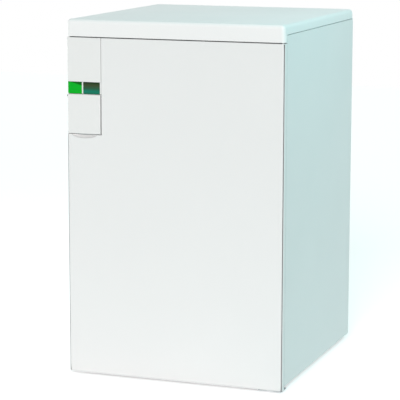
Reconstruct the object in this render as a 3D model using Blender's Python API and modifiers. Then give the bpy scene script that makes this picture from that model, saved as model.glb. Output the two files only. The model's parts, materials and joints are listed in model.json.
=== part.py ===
"""A floor standing gas boiler: a sheet-steel case with a hinged door, a control column with a lift-up
flap, and inside it a cast-iron heat exchanger with its burner, gas valve and draught diverter.
Metres, +Z up. The door faces -Y, and the origin is the bottom centre of the whole object's box."""

import math

import bmesh
import bpy
from mathutils import Euler, Matrix, Vector

X, Y, Z = range(3)

# Whole case, over its outer faces
CASE_WIDTH = 0.535
CASE_DEPTH = 0.570
CASE_HEIGHT = 0.850
SPIGOT_REACH = 0.060

# Clearances, sheet and modelling
FIT = 0.0003
OVERRUN = 0.004
SHEET = 0.0012
SHEET_BEND = 0.0022
WELD = 0.00002
PARALLEL_SHARE = 0.999
SMOOTH_ANGLE = math.radians(35)
FLAT_ANGLE = math.radians(0.01)
ROUND_SIDES = 24
SMALL_SIDES = 12
BEND_STEPS = 4
HEX_SIDES = 6

# Top cover
COVER_SHEET = 0.0015
COVER_RADIUS = 0.010
COVER_STEPS = 3
FASCIA_HEIGHT = 0.040
RIM_HEIGHT = 0.023
SEAM = 0.0008

# Door
DOOR_DEPTH = 0.016
DOOR_BOTTOM = 0.0055
DOOR_SEAM = 0.0025
DOOR_GAP = 0.0025
DOOR_CORNER_RADIUS = 0.0065
DOOR_EDGE_RADIUS = 0.0022
DOOR_LIP = 0.012
SCOOP_CENTRE_X = 0.0445
SCOOP_HALF_WIDTH = 0.033
SCOOP_DROP = 0.0095
SCOOP_DEPTH = 0.0085
SCOOP_SHIFT = 0.0004
PAD_GAP = 0.001

# Door hinge
PIVOT_INSET = 0.0065
PIVOT_DEPTH = 0.006
PIN_RADIUS = 0.0025
PIN_LENGTH = 0.010
PIN_CLEARANCE = 0.0004
BRACKET_SHEET = 0.002
BRACKET_WIDTH = 0.040
BRACKET_WASHER = 0.0006

# Side, rear and base sheets
FLANGE = 0.018
PANEL_BOTTOM = 0.012
BASE_SHEET = 0.002
BASE_HEIGHT = 0.026
AIR_MARGIN = 0.025
AIR_DEPTH = 0.150
RAIL_HEIGHT = 0.034
RAIL_DEPTH = 0.026
REAR_INSET = 0.002
REAR_FOLD = 0.014
FOOT_INSET_X = 0.068
FOOT_INSET_Y = 0.055
FOOT_PAD_RADIUS = 0.016
FOOT_PAD_HEIGHT = 0.005
FOOT_STUD_RADIUS = 0.005
FOOT_STUD_TOP = 0.034
FOOT_NUT_RADIUS = 0.0095
FOOT_NUT_HEIGHT = 0.006

# Magnet catch
CATCH_WIDTH = 0.010
CATCH_HEIGHT = 0.046
CATCH_DEPTH = 0.014
CATCH_DROP = 0.1605
POLE_GAP = 0.0006

# Control column, measured from the left side and down from the door's top
COLUMN_WIDTH = 0.088
COLUMN_GAP = 0.0008
FLAP_GAP = 0.0028
UPPER_LENGTH = 0.1035
WINDOW_HEIGHT = 0.028
FLAP_LENGTH = 0.094
FLAP_FOOT_GAP = 0.0015
MOULD = 0.0022
COLUMN_RADIUS = 0.0062
COLUMN_EDGE_RADIUS = 0.0012
LENS_FACE = 0.0024
LENS_THICKNESS = 0.0026
GREEN_RIGHT = 0.0382
BAR_RIGHT = 0.0418
DARK_RIGHT = 0.0838
FRAME_BACK = 0.0145
FRAME_RAIL = 0.0025

# Flap, which turns on a bead round its pin
FLAP_BEAD_RADIUS = 0.0048
FLAP_EDGE_RADIUS = 0.0028
FLAP_PIN_RADIUS = 0.0013
FLAP_PIN_CLEARANCE = 0.0003
FLAP_OPEN_GAP = 0.0008
EAR_RADIUS = 0.0028
EAR_WIDTH = 0.0018

# Control housing and what it carries
HOUSING_BACK = 0.085
HOUSING_DROP = 0.0215
HOUSING_WALL = 0.0022
PANEL_DEPTH = 0.0245
RECESS_MARGIN = 0.0035
SWITCH_X = 0.022
SWITCH_DROP = 0.030
SWITCH_WIDTH = 0.013
SWITCH_HALF_HEIGHT = 0.0095
SWITCH_REACH = 0.0058
SWITCH_TILT = math.radians(8)
SWITCH_PIVOT_DEPTH = 0.0030
SWITCH_CLEARANCE = 0.0016
KNOB_X = 0.0555
KNOB_DROP = 0.035
KNOB_RADIUS = 0.0165
KNOB_GRIP_RADIUS = 0.0122
KNOB_SKIRT = 0.0032
KNOB_HEIGHT = 0.0150
KNOB_SHAFT_RADIUS = 0.0032
KNOB_SHAFT_LENGTH = 0.009
KNOB_FLUTES = 12
FLUTE_RADIUS = 0.0018
FLUTE_SIDES = 6
BUTTON_DROP = 0.0725
IGNITION_X = 0.022
IGNITION_RADIUS = 0.0062
RESET_X = 0.0555
RESET_RADIUS = 0.0044
BUTTON_PROUD = 0.0055
BUTTON_FLANGE = 0.0015
BUTTON_TAIL = 0.006
BUTTON_CLEARANCE = 0.0004
BUTTON_COLLAR = 0.0022
LAMP_X = 0.0205
LAMP_RADIUS = 0.0045
LAMP_PROUD = 0.0062
DIAL_X = 0.0625
DIAL_RADIUS = 0.0105
DIAL_THICKNESS = 0.0018
DIAL_STEM_RADIUS = 0.0030
DIAL_FACE_DEPTH = 0.0068
NEEDLE_START = math.radians(-125)
NEEDLE_LENGTH = 0.0084
NEEDLE_WIDTH = 0.0012
NEEDLE_THICKNESS = 0.0007
NEEDLE_HUB_RADIUS = 0.0020

# Heat exchanger
BLOCK_FRONT = 0.150
BLOCK_MARGIN = 0.0875
BLOCK_BOTTOM = 0.310
BLOCK_HEADROOM = 0.170
SECTION_COUNT = 4
SECTION_DEPTH = 0.060
SECTION_GAP = 0.0006
SECTION_RADIUS = 0.018
FLUE_MARGIN = 0.045
FLUE_RECESS = 0.011
FLUE_RIM = 0.003
FIN_COUNT = 7
FIN_WIDTH = 0.006
FIN_REACH = 0.0075
ROD_INSET = 0.016
ROD_RADIUS = 0.005
ROD_CLEARANCE = 0.0005
ROD_STICK_OUT = 0.012
ROD_NUT_RADIUS = 0.0095
ROD_NUT_HEIGHT = 0.008
JACKET_THICKNESS = 0.022
JACKET_GAP = 0.0006
JACKET_TRIM = 0.006
STAND_SHEET = 0.003
STAND_FLANGE = 0.030
STAND_MARGIN = 0.020
CHAMBER_MARGIN = 0.005
CHAMBER_BOTTOM = 0.130
CHAMBER_SHEET = 0.002
CHAMBER_INSET = 0.003

# Flue
HOOD_OVERLAP = 0.010
HOOD_HEADROOM = 0.072
HOOD_SHEET = 0.0015
HOOD_FRONT_SLOPE = 0.070
HOOD_LIP = 0.020
HOOD_STEP = 0.012
DIVERTER_MARGIN = 0.010
DIVERTER_HEIGHT = 0.223
DIVERTER_HEADROOM = 0.062
MOUTH_MARGIN = 0.020
MOUTH_HEIGHT = 0.066
SPIGOT_RADIUS = 0.075
SPIGOT_WALL = 0.0016
SPIGOT_DROP = 0.156
SPIGOT_CLEARANCE = 0.003
SPIGOT_SIDES = 36
SPIGOT_BEAD = 0.0022
BEAD_INSET = 0.012
BEAD_HALF_WIDTH = 0.003

# Water pipes
PIPE_SET_OUT = 0.017
FLOW_DROP = 0.050
RETURN_Z = 0.365
PIPE_RADIUS = 0.014
PIPE_BORE = 0.0112
PIPE_REACH = 0.045
FLANGE_RADIUS = 0.024
FLANGE_THICKNESS = 0.007
PIPE_CLEARANCE = 0.0015
PORT_DEPTH = 0.020

# Burner
BURNER_COUNT = 4
BURNER_MARGIN = 0.033
BURNER_WIDTH = 0.024
BURNER_HEIGHT = 0.040
BURNER_Z = 0.196
BURNER_END_GAP = 0.012
PORT_COUNT = 7
PORT_SLOT = 0.0022
SLOT_DEPTH = 0.004
VENTURI_RADIUS = 0.0085
VENTURI_BORE = 0.0068
VENTURI_REACH = 0.022
VENTURI_BORE_DEPTH = 0.040
MOUTH_RADIUS = 0.0110
PLATE_MARGIN = 0.030
PLATE_BOTTOM = 0.150
PLATE_TOP = 0.268
PLATE_SHEET = 0.003
BURNER_OPENING_MARGIN = 0.014
SHELF_HEIGHT = 0.004
SHELF_DEPTH = 0.022
SIGHT_Z = 0.248
SIGHT_RADIUS = 0.010
SIGHT_PROUD = 0.0012
SIGHT_LIP = 0.002

# Gas train
MANIFOLD_RADIUS = 0.0085
MANIFOLD_SET_OFF = 0.058
MANIFOLD_END = 0.016
INJECTOR_RADIUS = 0.0050
INJECTOR_LENGTH = 0.020
INJECTOR_BODY = 0.009
INJECTOR_TIP_SHARE = 0.4
LEG_WIDTH = 0.010
LEG_THICKNESS = 0.003
LEG_FOOT = 0.010
VALVE_SET_BACK = 0.095
VALVE_WIDTH = 0.058
VALVE_DEPTH = 0.052
VALVE_HEIGHT = 0.066
VALVE_RADIUS = 0.004
TURRET_RADIUS = 0.017
TURRET_HEIGHT = 0.022
BOSS_RADIUS = 0.0125
BOSS_LENGTH = 0.006
VALVE_KNOB_RADIUS = 0.0150
VALVE_KNOB_HEIGHT = 0.016
VALVE_KNOB_FLUTES = 10
GAS_PIPE_RADIUS = 0.0090
GAS_PIPE_BORE = 0.0068
GAS_PIPE_MARGIN = 0.0325
GAS_PIPE_REACH = 0.040
GAS_BEND = 0.020
GAS_UNION_RADIUS = 0.0135
GAS_UNION_LENGTH = 0.012
PILOT_SHIFT = 0.002
PILOT_Z = 0.232
PILOT_RADIUS = 0.0030
PILOT_INSIDE = 0.040
PILOT_HEAD = 0.012
PILOT_HEAD_HEIGHT = 0.010
PILOT_FLANGE = 0.0075
PILOT_TUBE_RADIUS = 0.0020
PILOT_TUBE_OUT = 0.0147
PILOT_TUBE_RISE = 0.014
PILOT_TUBE_PLACE = 0.012
PILOT_INLET_Z = 0.215
COUPLE_RADIUS = 0.0016
COUPLE_SHIFT = 0.014
COUPLE_INSIDE = 0.044
COUPLE_OUT = 0.0197
COUPLE_PLACE = 0.029
COUPLE_INLET_Z = 0.205
LEAD_BEND = 0.005
LEAD_NUT_RADIUS = 0.0040
LEAD_NUT_LENGTH = 0.005

# Drain cock and cable gland
DRAIN_MARGIN = 0.030
DRAIN_Z = 0.352
DRAIN_RADIUS = 0.0090
DRAIN_LENGTH = 0.052
DRAIN_SPOUT_RADIUS = 0.0062
DRAIN_SPOUT_DROP = 0.024
DRAIN_SPOUT_AT = 0.036
DRAIN_BORE = 0.0036
DRAIN_FLANGE = 0.0125
TAP_LENGTH = 0.030
TAP_WIDTH = 0.010
TAP_THICKNESS = 0.004
TAP_HUB_RADIUS = 0.0070
GLAND_MARGIN = 0.0675
GLAND_Z = 0.100
GLAND_RADIUS = 0.0080
GLAND_BORE = 0.0038
GLAND_HEX_RADIUS = 0.0125
GLAND_HEX = 0.005
GLAND_NOSE = 0.014
GLAND_TAIL = 0.010

# Places worked out from the sizes above
HALF = CASE_WIDTH / 2
LEFT = -HALF
FRONT = -(CASE_DEPTH + SPIGOT_REACH) / 2
BACK = FRONT + CASE_DEPTH
FASCIA_BOTTOM = CASE_HEIGHT - FASCIA_HEIGHT
RIM_BOTTOM = CASE_HEIGHT - RIM_HEIGHT
DOOR_BACK = FRONT + DOOR_DEPTH
DOOR_TOP = FASCIA_BOTTOM - DOOR_SEAM
PANEL_FRONT = DOOR_BACK + DOOR_GAP
PANEL_BACK = BACK - SHEET - FIT
PANEL_TOP = RIM_BOTTOM - SEAM
INNER_FRONT = PANEL_FRONT + SHEET + FIT
INNER_BACK = PANEL_BACK - SHEET - FIT
INNER_HALF = HALF - SHEET - FIT
BASE_BOTTOM = PANEL_BOTTOM + SHEET + FIT
BASE_FLOOR = BASE_BOTTOM + BASE_SHEET
RAIL_TOP = PANEL_TOP - SHEET - FIT
PIVOT = Vector((HALF - PIVOT_INSET, FRONT + PIVOT_DEPTH, DOOR_BOTTOM))
NOTCH_RIGHT = LEFT + COLUMN_WIDTH
WINDOW_TOP = DOOR_TOP - UPPER_LENGTH
WINDOW_BOTTOM = WINDOW_TOP - WINDOW_HEIGHT
FLAP_BOTTOM = WINDOW_BOTTOM - FLAP_LENGTH
NOTCH_BOTTOM = FLAP_BOTTOM - FLAP_FOOT_GAP
CATCH_Z = NOTCH_BOTTOM - CATCH_DROP
HOUSING_TOP = DOOR_TOP - HOUSING_DROP
SWITCH_Z = WINDOW_BOTTOM - SWITCH_DROP
KNOB_Z = WINDOW_BOTTOM - KNOB_DROP
BUTTON_Z = WINDOW_BOTTOM - BUTTON_DROP
COLUMN_RIGHT = NOTCH_RIGHT - COLUMN_GAP
FLAP_RIGHT = NOTCH_RIGHT - FLAP_GAP
FLAP_TOP = WINDOW_BOTTOM - FLAP_OPEN_GAP
FLAP_BACK = FRONT + FLAP_BEAD_RADIUS + FLAP_BEAD_RADIUS
FLAP_PIVOT = Vector((LEFT, FRONT + FLAP_BEAD_RADIUS, FLAP_TOP - FLAP_BEAD_RADIUS))
FLAP_LEFT_EAR = LEFT + FIT + EAR_WIDTH
COLUMN_BOTTOM = NOTCH_BOTTOM + COLUMN_GAP
HOUSING_FRONT = FRONT + FRAME_BACK + FIT
PANEL_FACE = FRONT + PANEL_DEPTH
HOUSING_RIM = FLAP_BACK + FIT
BLOCK_Y = FRONT + BLOCK_FRONT
BLOCK_END = BLOCK_Y + SECTION_COUNT * SECTION_DEPTH + (SECTION_COUNT - 1) * SECTION_GAP
BLOCK_TOP = CASE_HEIGHT - BLOCK_HEADROOM
BLOCK_WIDTH = CASE_WIDTH - 2 * BLOCK_MARGIN
FLUE_WIDTH = BLOCK_WIDTH - 2 * FLUE_MARGIN
CHAMBER_WIDTH = BLOCK_WIDTH - 2 * CHAMBER_MARGIN
STAND_SPREAD = CHAMBER_WIDTH - 2 * STAND_MARGIN
AIR_WIDTH = STAND_SPREAD - 2 * AIR_MARGIN
HOOD_WIDTH = FLUE_WIDTH + 2 * HOOD_OVERLAP
HOOD_TOP = CASE_HEIGHT - HOOD_HEADROOM
DIVERTER_WIDTH = HOOD_WIDTH - 2 * DIVERTER_MARGIN
DIVERTER_TOP = CASE_HEIGHT - DIVERTER_HEADROOM
DIVERTER_BOTTOM = DIVERTER_TOP - DIVERTER_HEIGHT
MOUTH_WIDTH = DIVERTER_WIDTH - 2 * MOUTH_MARGIN
SPIGOT_Z = CASE_HEIGHT - SPIGOT_DROP
PIPE_X = DIVERTER_WIDTH / 2 + PIPE_SET_OUT
FLOW_Z = BLOCK_TOP - FLOW_DROP
CHAMBER_FRONT = BLOCK_Y + CHAMBER_INSET
CHAMBER_BACK = BLOCK_END - CHAMBER_INSET
CHAMBER_TOP = BLOCK_BOTTOM - FIT
PLATE_BACK = CHAMBER_FRONT - FIT
PLATE_FRONT = PLATE_BACK - PLATE_SHEET
PLATE_WIDTH = CHAMBER_WIDTH - 2 * PLATE_MARGIN
BURNER_PITCH = (PLATE_WIDTH - 2 * BURNER_MARGIN) / BURNER_COUNT
PILOT_X = BURNER_PITCH / 2 + PILOT_SHIFT
COUPLE_X = PILOT_X + COUPLE_SHIFT
MANIFOLD_Y = PLATE_FRONT - MANIFOLD_SET_OFF
DIVERTER_FRONT = BLOCK_END + FLANGE_THICKNESS + FIT + FIT
DIVERTER_BACK = BACK - SHEET - FIT
MOUTH_BOTTOM = BLOCK_TOP + FIT + HOOD_STEP + HOOD_SHEET
VALVE_BACK = MANIFOLD_Y + VALVE_DEPTH / 2
GAS_PIPE_X = HALF - GAS_PIPE_MARGIN
VALVE_LEFT = GAS_PIPE_X - VALVE_SET_BACK
PILOT_TUBE_X = VALVE_LEFT + PILOT_TUBE_PLACE
COUPLE_END_X = VALVE_LEFT + COUPLE_PLACE
DRAIN_X = BLOCK_WIDTH / 2 - DRAIN_MARGIN
GLAND_X = HALF - GLAND_MARGIN


def make_collection(name):
    made = bpy.data.collections.new(name)
    bpy.context.scene.collection.children.link(made)
    return made


for old in list(bpy.data.objects):
    bpy.data.objects.remove(old, do_unlink=True)
PARTS = make_collection("floor_standing_gas_boiler")
CUTTERS = make_collection("cutters")


def material(name, color, roughness, metallic=0.0, alpha=1.0):
    made = bpy.data.materials.new(name)
    made.use_nodes = True
    shader = made.node_tree.nodes["Principled BSDF"]
    shader.inputs["Base Color"].default_value = (*color, 1.0)
    shader.inputs["Roughness"].default_value = roughness
    shader.inputs["Metallic"].default_value = metallic
    shader.inputs["Alpha"].default_value = alpha
    return made


CASE_WHITE = material("case_white", (0.83, 0.85, 0.84), 0.32)
CONTROL_WHITE = material("control_white", (0.82, 0.83, 0.82), 0.38)
GALVANISED = material("galvanised", (0.55, 0.57, 0.58), 0.42, 0.9)
STEEL = material("steel", (0.50, 0.50, 0.50), 0.30, 1.0)
CAST_IRON = material("cast_iron", (0.060, 0.058, 0.056), 0.72, 0.3)
BURNER_STEEL = material("burner_steel", (0.30, 0.28, 0.26), 0.45, 0.9)
FOIL = material("foil", (0.72, 0.73, 0.74), 0.30, 0.9)
VALVE_ALLOY = material("valve_alloy", (0.60, 0.61, 0.62), 0.40, 0.85)
BRASS = material("brass", (0.62, 0.45, 0.18), 0.32, 1.0)
COPPER = material("copper", (0.62, 0.28, 0.16), 0.32, 1.0)
BLACK_PLASTIC = material("black_plastic", (0.020, 0.020, 0.022), 0.42)
GREY_PLASTIC = material("grey_plastic", (0.18, 0.19, 0.20), 0.48)
RED_PLASTIC = material("red_plastic", (0.50, 0.030, 0.020), 0.40)
GREEN_LENS = material("green_lens", (0.004, 0.43, 0.022), 0.18, 0.0, 0.9)
DARK_LENS = material("dark_lens", (0.010, 0.10, 0.060), 0.12, 0.0, 0.7)
SIGHT_GLASS = material("sight_glass", (0.55, 0.60, 0.60), 0.05, 0.0, 0.4)
DIAL_WHITE = material("dial_white", (0.80, 0.80, 0.78), 0.50)


def box(*spans):
    """A box mesh between the two ends of each span, which may be given in either order."""
    middle = [(span[0] + span[1]) / 2 for span in spans]
    size = [abs(span[1] - span[0]) for span in spans]
    bm = bmesh.new()
    matrix = Matrix.Translation(middle) @ Matrix.Diagonal((*size, 1.0))
    bmesh.ops.create_cube(bm, size=1.0, matrix=matrix)
    return bm


def rod(start, end, radius, sides=ROUND_SIDES, end_radius=None):
    """A cylinder between two points, or a cone if the far end has its own radius."""
    start = Vector(start)
    end = Vector(end)
    along = end - start
    turn = along.to_track_quat("Z", "Y").to_matrix().to_4x4()
    bm = bmesh.new()
    bmesh.ops.create_cone(
        bm, cap_ends=True, segments=sides, radius1=radius,
        radius2=radius if end_radius is None else end_radius,
        depth=along.length, matrix=Matrix.Translation((start + end) / 2) @ turn,
    )
    return bm


def ellipsoid(centre, half_sizes):
    bm = bmesh.new()
    matrix = Matrix.Translation(centre) @ Matrix.Diagonal((*half_sizes, 1.0))
    bmesh.ops.create_uvsphere(bm, u_segments=ROUND_SIDES, v_segments=ROUND_SIDES // 2, radius=1.0,
                              matrix=matrix)
    return bm


def mesh_of_curve(curve):
    """The welded mesh of a curve, which is then removed."""
    obj = bpy.data.objects.new(curve.name, curve)
    mesh = bpy.data.meshes.new_from_object(obj)
    bm = bmesh.new()
    bm.from_mesh(mesh)
    bmesh.ops.remove_doubles(bm, verts=bm.verts, dist=WELD)
    bpy.data.objects.remove(obj)
    bpy.data.meshes.remove(mesh)
    bpy.data.curves.remove(curve)
    return bm


OUTLINE_TURNS = {
    X: Matrix(((0, 0, 1), (1, 0, 0), (0, 1, 0))),
    Y: Matrix(((1, 0, 0), (0, 0, -1), (0, 1, 0))),
    Z: Matrix.Identity(3),
}


def extruded(axis, span, *outlines):
    """A flat outline run along an axis over a span. Its points are in the other two axes, in X, Y, Z
    order, and every outline after the first is a hole."""
    curve = bpy.data.curves.new("outline", "CURVE")
    curve.dimensions = "2D"
    curve.fill_mode = "BOTH"
    curve.extrude = abs(span[1] - span[0]) / 2
    for outline in outlines:
        spline = curve.splines.new("POLY")
        spline.points.add(len(outline) - 1)
        for point, (across, up) in zip(spline.points, outline):
            point.co = (across, up, 0.0, 1.0)
        spline.use_cyclic_u = True
    bm = mesh_of_curve(curve)
    if len(outlines) == 1:
        bmesh.ops.dissolve_limit(bm, angle_limit=FLAT_ANGLE, verts=bm.verts, edges=bm.edges)
    shift = Vector((0, 0, 0))
    shift[axis] = (span[0] + span[1]) / 2
    bm.transform(Matrix.Translation(shift) @ OUTLINE_TURNS[axis].to_4x4())
    return bm


def circle(centre, radius, sides=SMALL_SIDES):
    """The points of a circle in an outline."""
    turns = [2 * math.pi * step / sides for step in range(sides)]
    return [(centre[0] + radius * math.cos(turn), centre[1] + radius * math.sin(turn)) for turn in turns]


def rectangle(across, up):
    return [(across[0], up[0]), (across[1], up[0]), (across[1], up[1]), (across[0], up[1])]


def bent_path(corners, bend_radius):
    """The points of a path whose inner corners are right-angled bends of one radius."""
    corners = [Vector(corner) for corner in corners]
    path = [corners[0]]
    for before, corner, after in zip(corners, corners[1:], corners[2:]):
        inward = (before - corner).normalized() * bend_radius
        outward = (after - corner).normalized() * bend_radius
        centre = corner + inward + outward
        for step in range(BEND_STEPS + 1):
            turn = math.pi / 2 * step / BEND_STEPS
            path.append(centre - outward * math.cos(turn) - inward * math.sin(turn))
    return path + [corners[-1]]


def tube(path, radius, resolution=1):
    """A round bar along a path."""
    curve = bpy.data.curves.new("tube", "CURVE")
    curve.dimensions = "3D"
    curve.bevel_depth = radius
    curve.bevel_resolution = resolution
    curve.use_fill_caps = True
    spline = curve.splines.new("POLY")
    spline.points.add(len(path) - 1)
    for point, place in zip(spline.points, path):
        point.co = (*place, 1.0)
    return mesh_of_curve(curve)


def edges_at(bm, along=None, at=()):
    """The edges parallel to an axis whose two ends lie in each (axis, place) plane."""
    found = []
    for edge in bm.edges:
        ends = [vert.co for vert in edge.verts]
        step = (ends[1] - ends[0]).normalized()
        if along is not None and abs(step[along]) < PARALLEL_SHARE:
            continue
        if all(abs(end[axis] - place) < WELD for axis, place in at for end in ends):
            found.append(edge)
    return found


def round_edges(bm, edges, radius, steps):
    bmesh.ops.bevel(
        bm, geom=edges, offset=radius, offset_type="OFFSET", segments=steps, profile=0.5,
        affect="EDGES", clamp_overlap=True,
    )
    bmesh.ops.remove_doubles(bm, verts=bm.verts, dist=WELD)
    return bm


def together(*meshes):
    """Separate meshes as one, for cutters that do not touch each other."""
    bm = bmesh.new()
    for other in meshes:
        mesh = bpy.data.meshes.new("joined")
        other.to_mesh(mesh)
        other.free()
        bm.from_mesh(mesh)
        bpy.data.meshes.remove(mesh)
    return bm


def part(name, bm, finish, pivot=(0, 0, 0)):
    """An object of the model, with its origin at the pivot of its joint if it has one."""
    bmesh.ops.translate(bm, verts=bm.verts, vec=-Vector(pivot))
    mesh = bpy.data.meshes.new(name)
    bm.to_mesh(mesh)
    bm.free()
    mesh.shade_smooth()
    mesh.set_sharp_from_angle(angle=SMOOTH_ANGLE)
    mesh.materials.append(finish)
    obj = bpy.data.objects.new(name, mesh)
    obj.location = pivot
    PARTS.objects.link(obj)
    return obj


def boolean(obj, bm, operation):
    number = len(obj.modifiers) + 1
    mesh = bpy.data.meshes.new(f"{obj.name} {operation.lower()} {number}")
    bm.to_mesh(mesh)
    bm.free()
    other = bpy.data.objects.new(mesh.name, mesh)
    other.hide_render = True
    other.display_type = "WIRE"
    CUTTERS.objects.link(other)
    modifier = obj.modifiers.new(mesh.name, "BOOLEAN")
    modifier.operation = operation
    modifier.object = other
    return obj


def cut(obj, *meshes):
    for bm in meshes:
        boolean(obj, bm, "DIFFERENCE")
    return obj


def join(obj, *meshes):
    for bm in meshes:
        boolean(obj, bm, "UNION")
    return obj


FACING = {
    "up": (0, 0, 0),
    "front": (math.pi / 2, 0, 0),
    "back": (-math.pi / 2, 0, 0),
}


def turned(name, profile, finish, place, facing="up", sides=ROUND_SIDES, hollow=False):
    """A turned piece. The profile holds (radius, height) points down its outer side, top to bottom,
    and a hollow one goes on up its bore."""
    edges = [(index, index + 1) for index in range(len(profile) - 1)]
    if hollow:
        edges.append((len(profile) - 1, 0))
    mesh = bpy.data.meshes.new(name)
    mesh.from_pydata([(radius, 0.0, height) for radius, height in profile], edges, [])
    mesh.materials.append(finish)
    obj = bpy.data.objects.new(name, mesh)
    screw = obj.modifiers.new("Turn", "SCREW")
    screw.steps = sides
    screw.render_steps = sides
    screw.use_merge_vertices = True
    screw.merge_threshold = WELD
    obj.location = place
    obj.rotation_euler = FACING[facing]
    PARTS.objects.link(obj)
    return obj


def tray(spans, open_axis, open_side, sheet, bend=SHEET_BEND):
    """A folded sheet tray: a box with rounded folds, hollow, and open on one side."""
    bm = box(*spans)
    wall = spans[open_axis][0] if open_side > 0 else spans[open_axis][1]
    folds = edges_at(bm, at=[(open_axis, wall)])
    round_edges(bm, folds, bend, 2)
    inner = [[span[0] + sheet, span[1] - sheet] for span in spans]
    inner[open_axis][1 if open_side > 0 else 0] += open_side * (sheet + OVERRUN)
    return bm, box(*inner)


def build_top_cover():
    outer = box((LEFT, HALF), (FRONT, BACK), (FASCIA_BOTTOM, CASE_HEIGHT))
    edges = edges_at(outer, at=[(Z, CASE_HEIGHT)]) + edges_at(outer, along=Z)
    round_edges(outer, edges, COVER_RADIUS, COVER_STEPS)
    inset = COVER_SHEET
    ceiling = CASE_HEIGHT - inset
    floor = FASCIA_BOTTOM - OVERRUN
    inner = box((LEFT + inset, HALF - inset), (FRONT + inset, BACK - inset), (floor, ceiling))
    edges = edges_at(inner, at=[(Z, ceiling)]) + edges_at(inner, along=Z)
    round_edges(inner, edges, COVER_RADIUS - inset, COVER_STEPS)
    step = box((LEFT - OVERRUN, HALF + OVERRUN), (DOOR_BACK, BACK + OVERRUN), (floor, RIM_BOTTOM))
    cover = part("top_cover", outer, CASE_WHITE)
    return cut(cover, inner, step)


def door_outline(inset):
    """The door's outline with the notch for the control column, drawn in by an inset."""
    left = LEFT + inset
    right = HALF - inset
    bottom = DOOR_BOTTOM + inset
    top = DOOR_TOP - inset
    notch_x = NOTCH_RIGHT + inset
    notch_z = NOTCH_BOTTOM - inset
    return [(left, bottom), (right, bottom), (right, top), (notch_x, top), (notch_x, notch_z),
            (left, notch_z)]


def scoop(grow):
    """The finger scoop under the flap, as an ellipsoid centred just off the notch's lower edge."""
    centre = (LEFT + SCOOP_CENTRE_X, FRONT - SCOOP_SHIFT, NOTCH_BOTTOM + SCOOP_SHIFT)
    return ellipsoid(centre, (SCOOP_HALF_WIDTH + grow, SCOOP_DEPTH + grow, SCOOP_DROP + grow))


def hinge_holes(radius):
    upper = rod((PIVOT.x, PIVOT.y, DOOR_TOP - DOOR_EDGE_RADIUS - OVERRUN),
                (PIVOT.x, PIVOT.y, DOOR_TOP + OVERRUN),
                radius, SMALL_SIDES)
    lower = rod((PIVOT.x, PIVOT.y, DOOR_BOTTOM - OVERRUN),
                (PIVOT.x, PIVOT.y, DOOR_BOTTOM + DOOR_EDGE_RADIUS + OVERRUN),
                radius, SMALL_SIDES)
    return together(upper, lower)


def build_door():
    """The door is a folded pan with a notch, an inward lip round its back and a pressed finger scoop."""
    pan = extruded(Y, (FRONT, DOOR_BACK), door_outline(0))
    corners = [edge for x in (LEFT, HALF) for edge in edges_at(pan, along=Z, at=[(X, x), (Y, FRONT)])]
    round_edges(pan, corners, DOOR_CORNER_RADIUS, 4)
    face_edges = [edge for z in (DOOR_BOTTOM, DOOR_TOP, NOTCH_BOTTOM)
                  for edge in edges_at(pan, at=[(Z, z), (Y, FRONT)])]
    face_edges += edges_at(pan, at=[(X, NOTCH_RIGHT), (Y, FRONT)])
    round_edges(pan, face_edges, COLUMN_EDGE_RADIUS, 2)
    door = part("door_panel", pan, CASE_WHITE, PIVOT)
    hollow = extruded(Y, (FRONT + SHEET, DOOR_BACK - SHEET), door_outline(SHEET))
    mouth = extruded(Y, (DOOR_BACK - SHEET - OVERRUN, DOOR_BACK + OVERRUN), door_outline(DOOR_LIP))
    cut(door, hollow, mouth)
    dimple = scoop(SHEET)
    for place, normal in (((0, 0, NOTCH_BOTTOM - SHEET / 2), (0, 0, 1)),
                          ((0, FRONT + SHEET / 2, 0), (0, -1, 0))):
        whole = dimple.verts[:] + dimple.edges[:] + dimple.faces[:]
        bmesh.ops.bisect_plane(dimple, geom=whole, plane_co=place, plane_no=normal, clear_outer=True)
        bmesh.ops.holes_fill(dimple, edges=dimple.edges)
    bmesh.ops.recalc_face_normals(dimple, faces=dimple.faces)
    join(door, dimple)
    return cut(door, scoop(0), hinge_holes(PIN_RADIUS + PIN_CLEARANCE))


def build_door_pad():
    """The insulation pad lies inside the door's pan, behind its lips."""
    depths = (FRONT + SHEET + FIT, DOOR_BACK - SHEET - FIT)
    pad = part("door_insulation", extruded(Y, depths, door_outline(DOOR_LIP + PAD_GAP)), FOIL, PIVOT)
    return cut(pad, scoop(SHEET + PAD_GAP))


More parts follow.
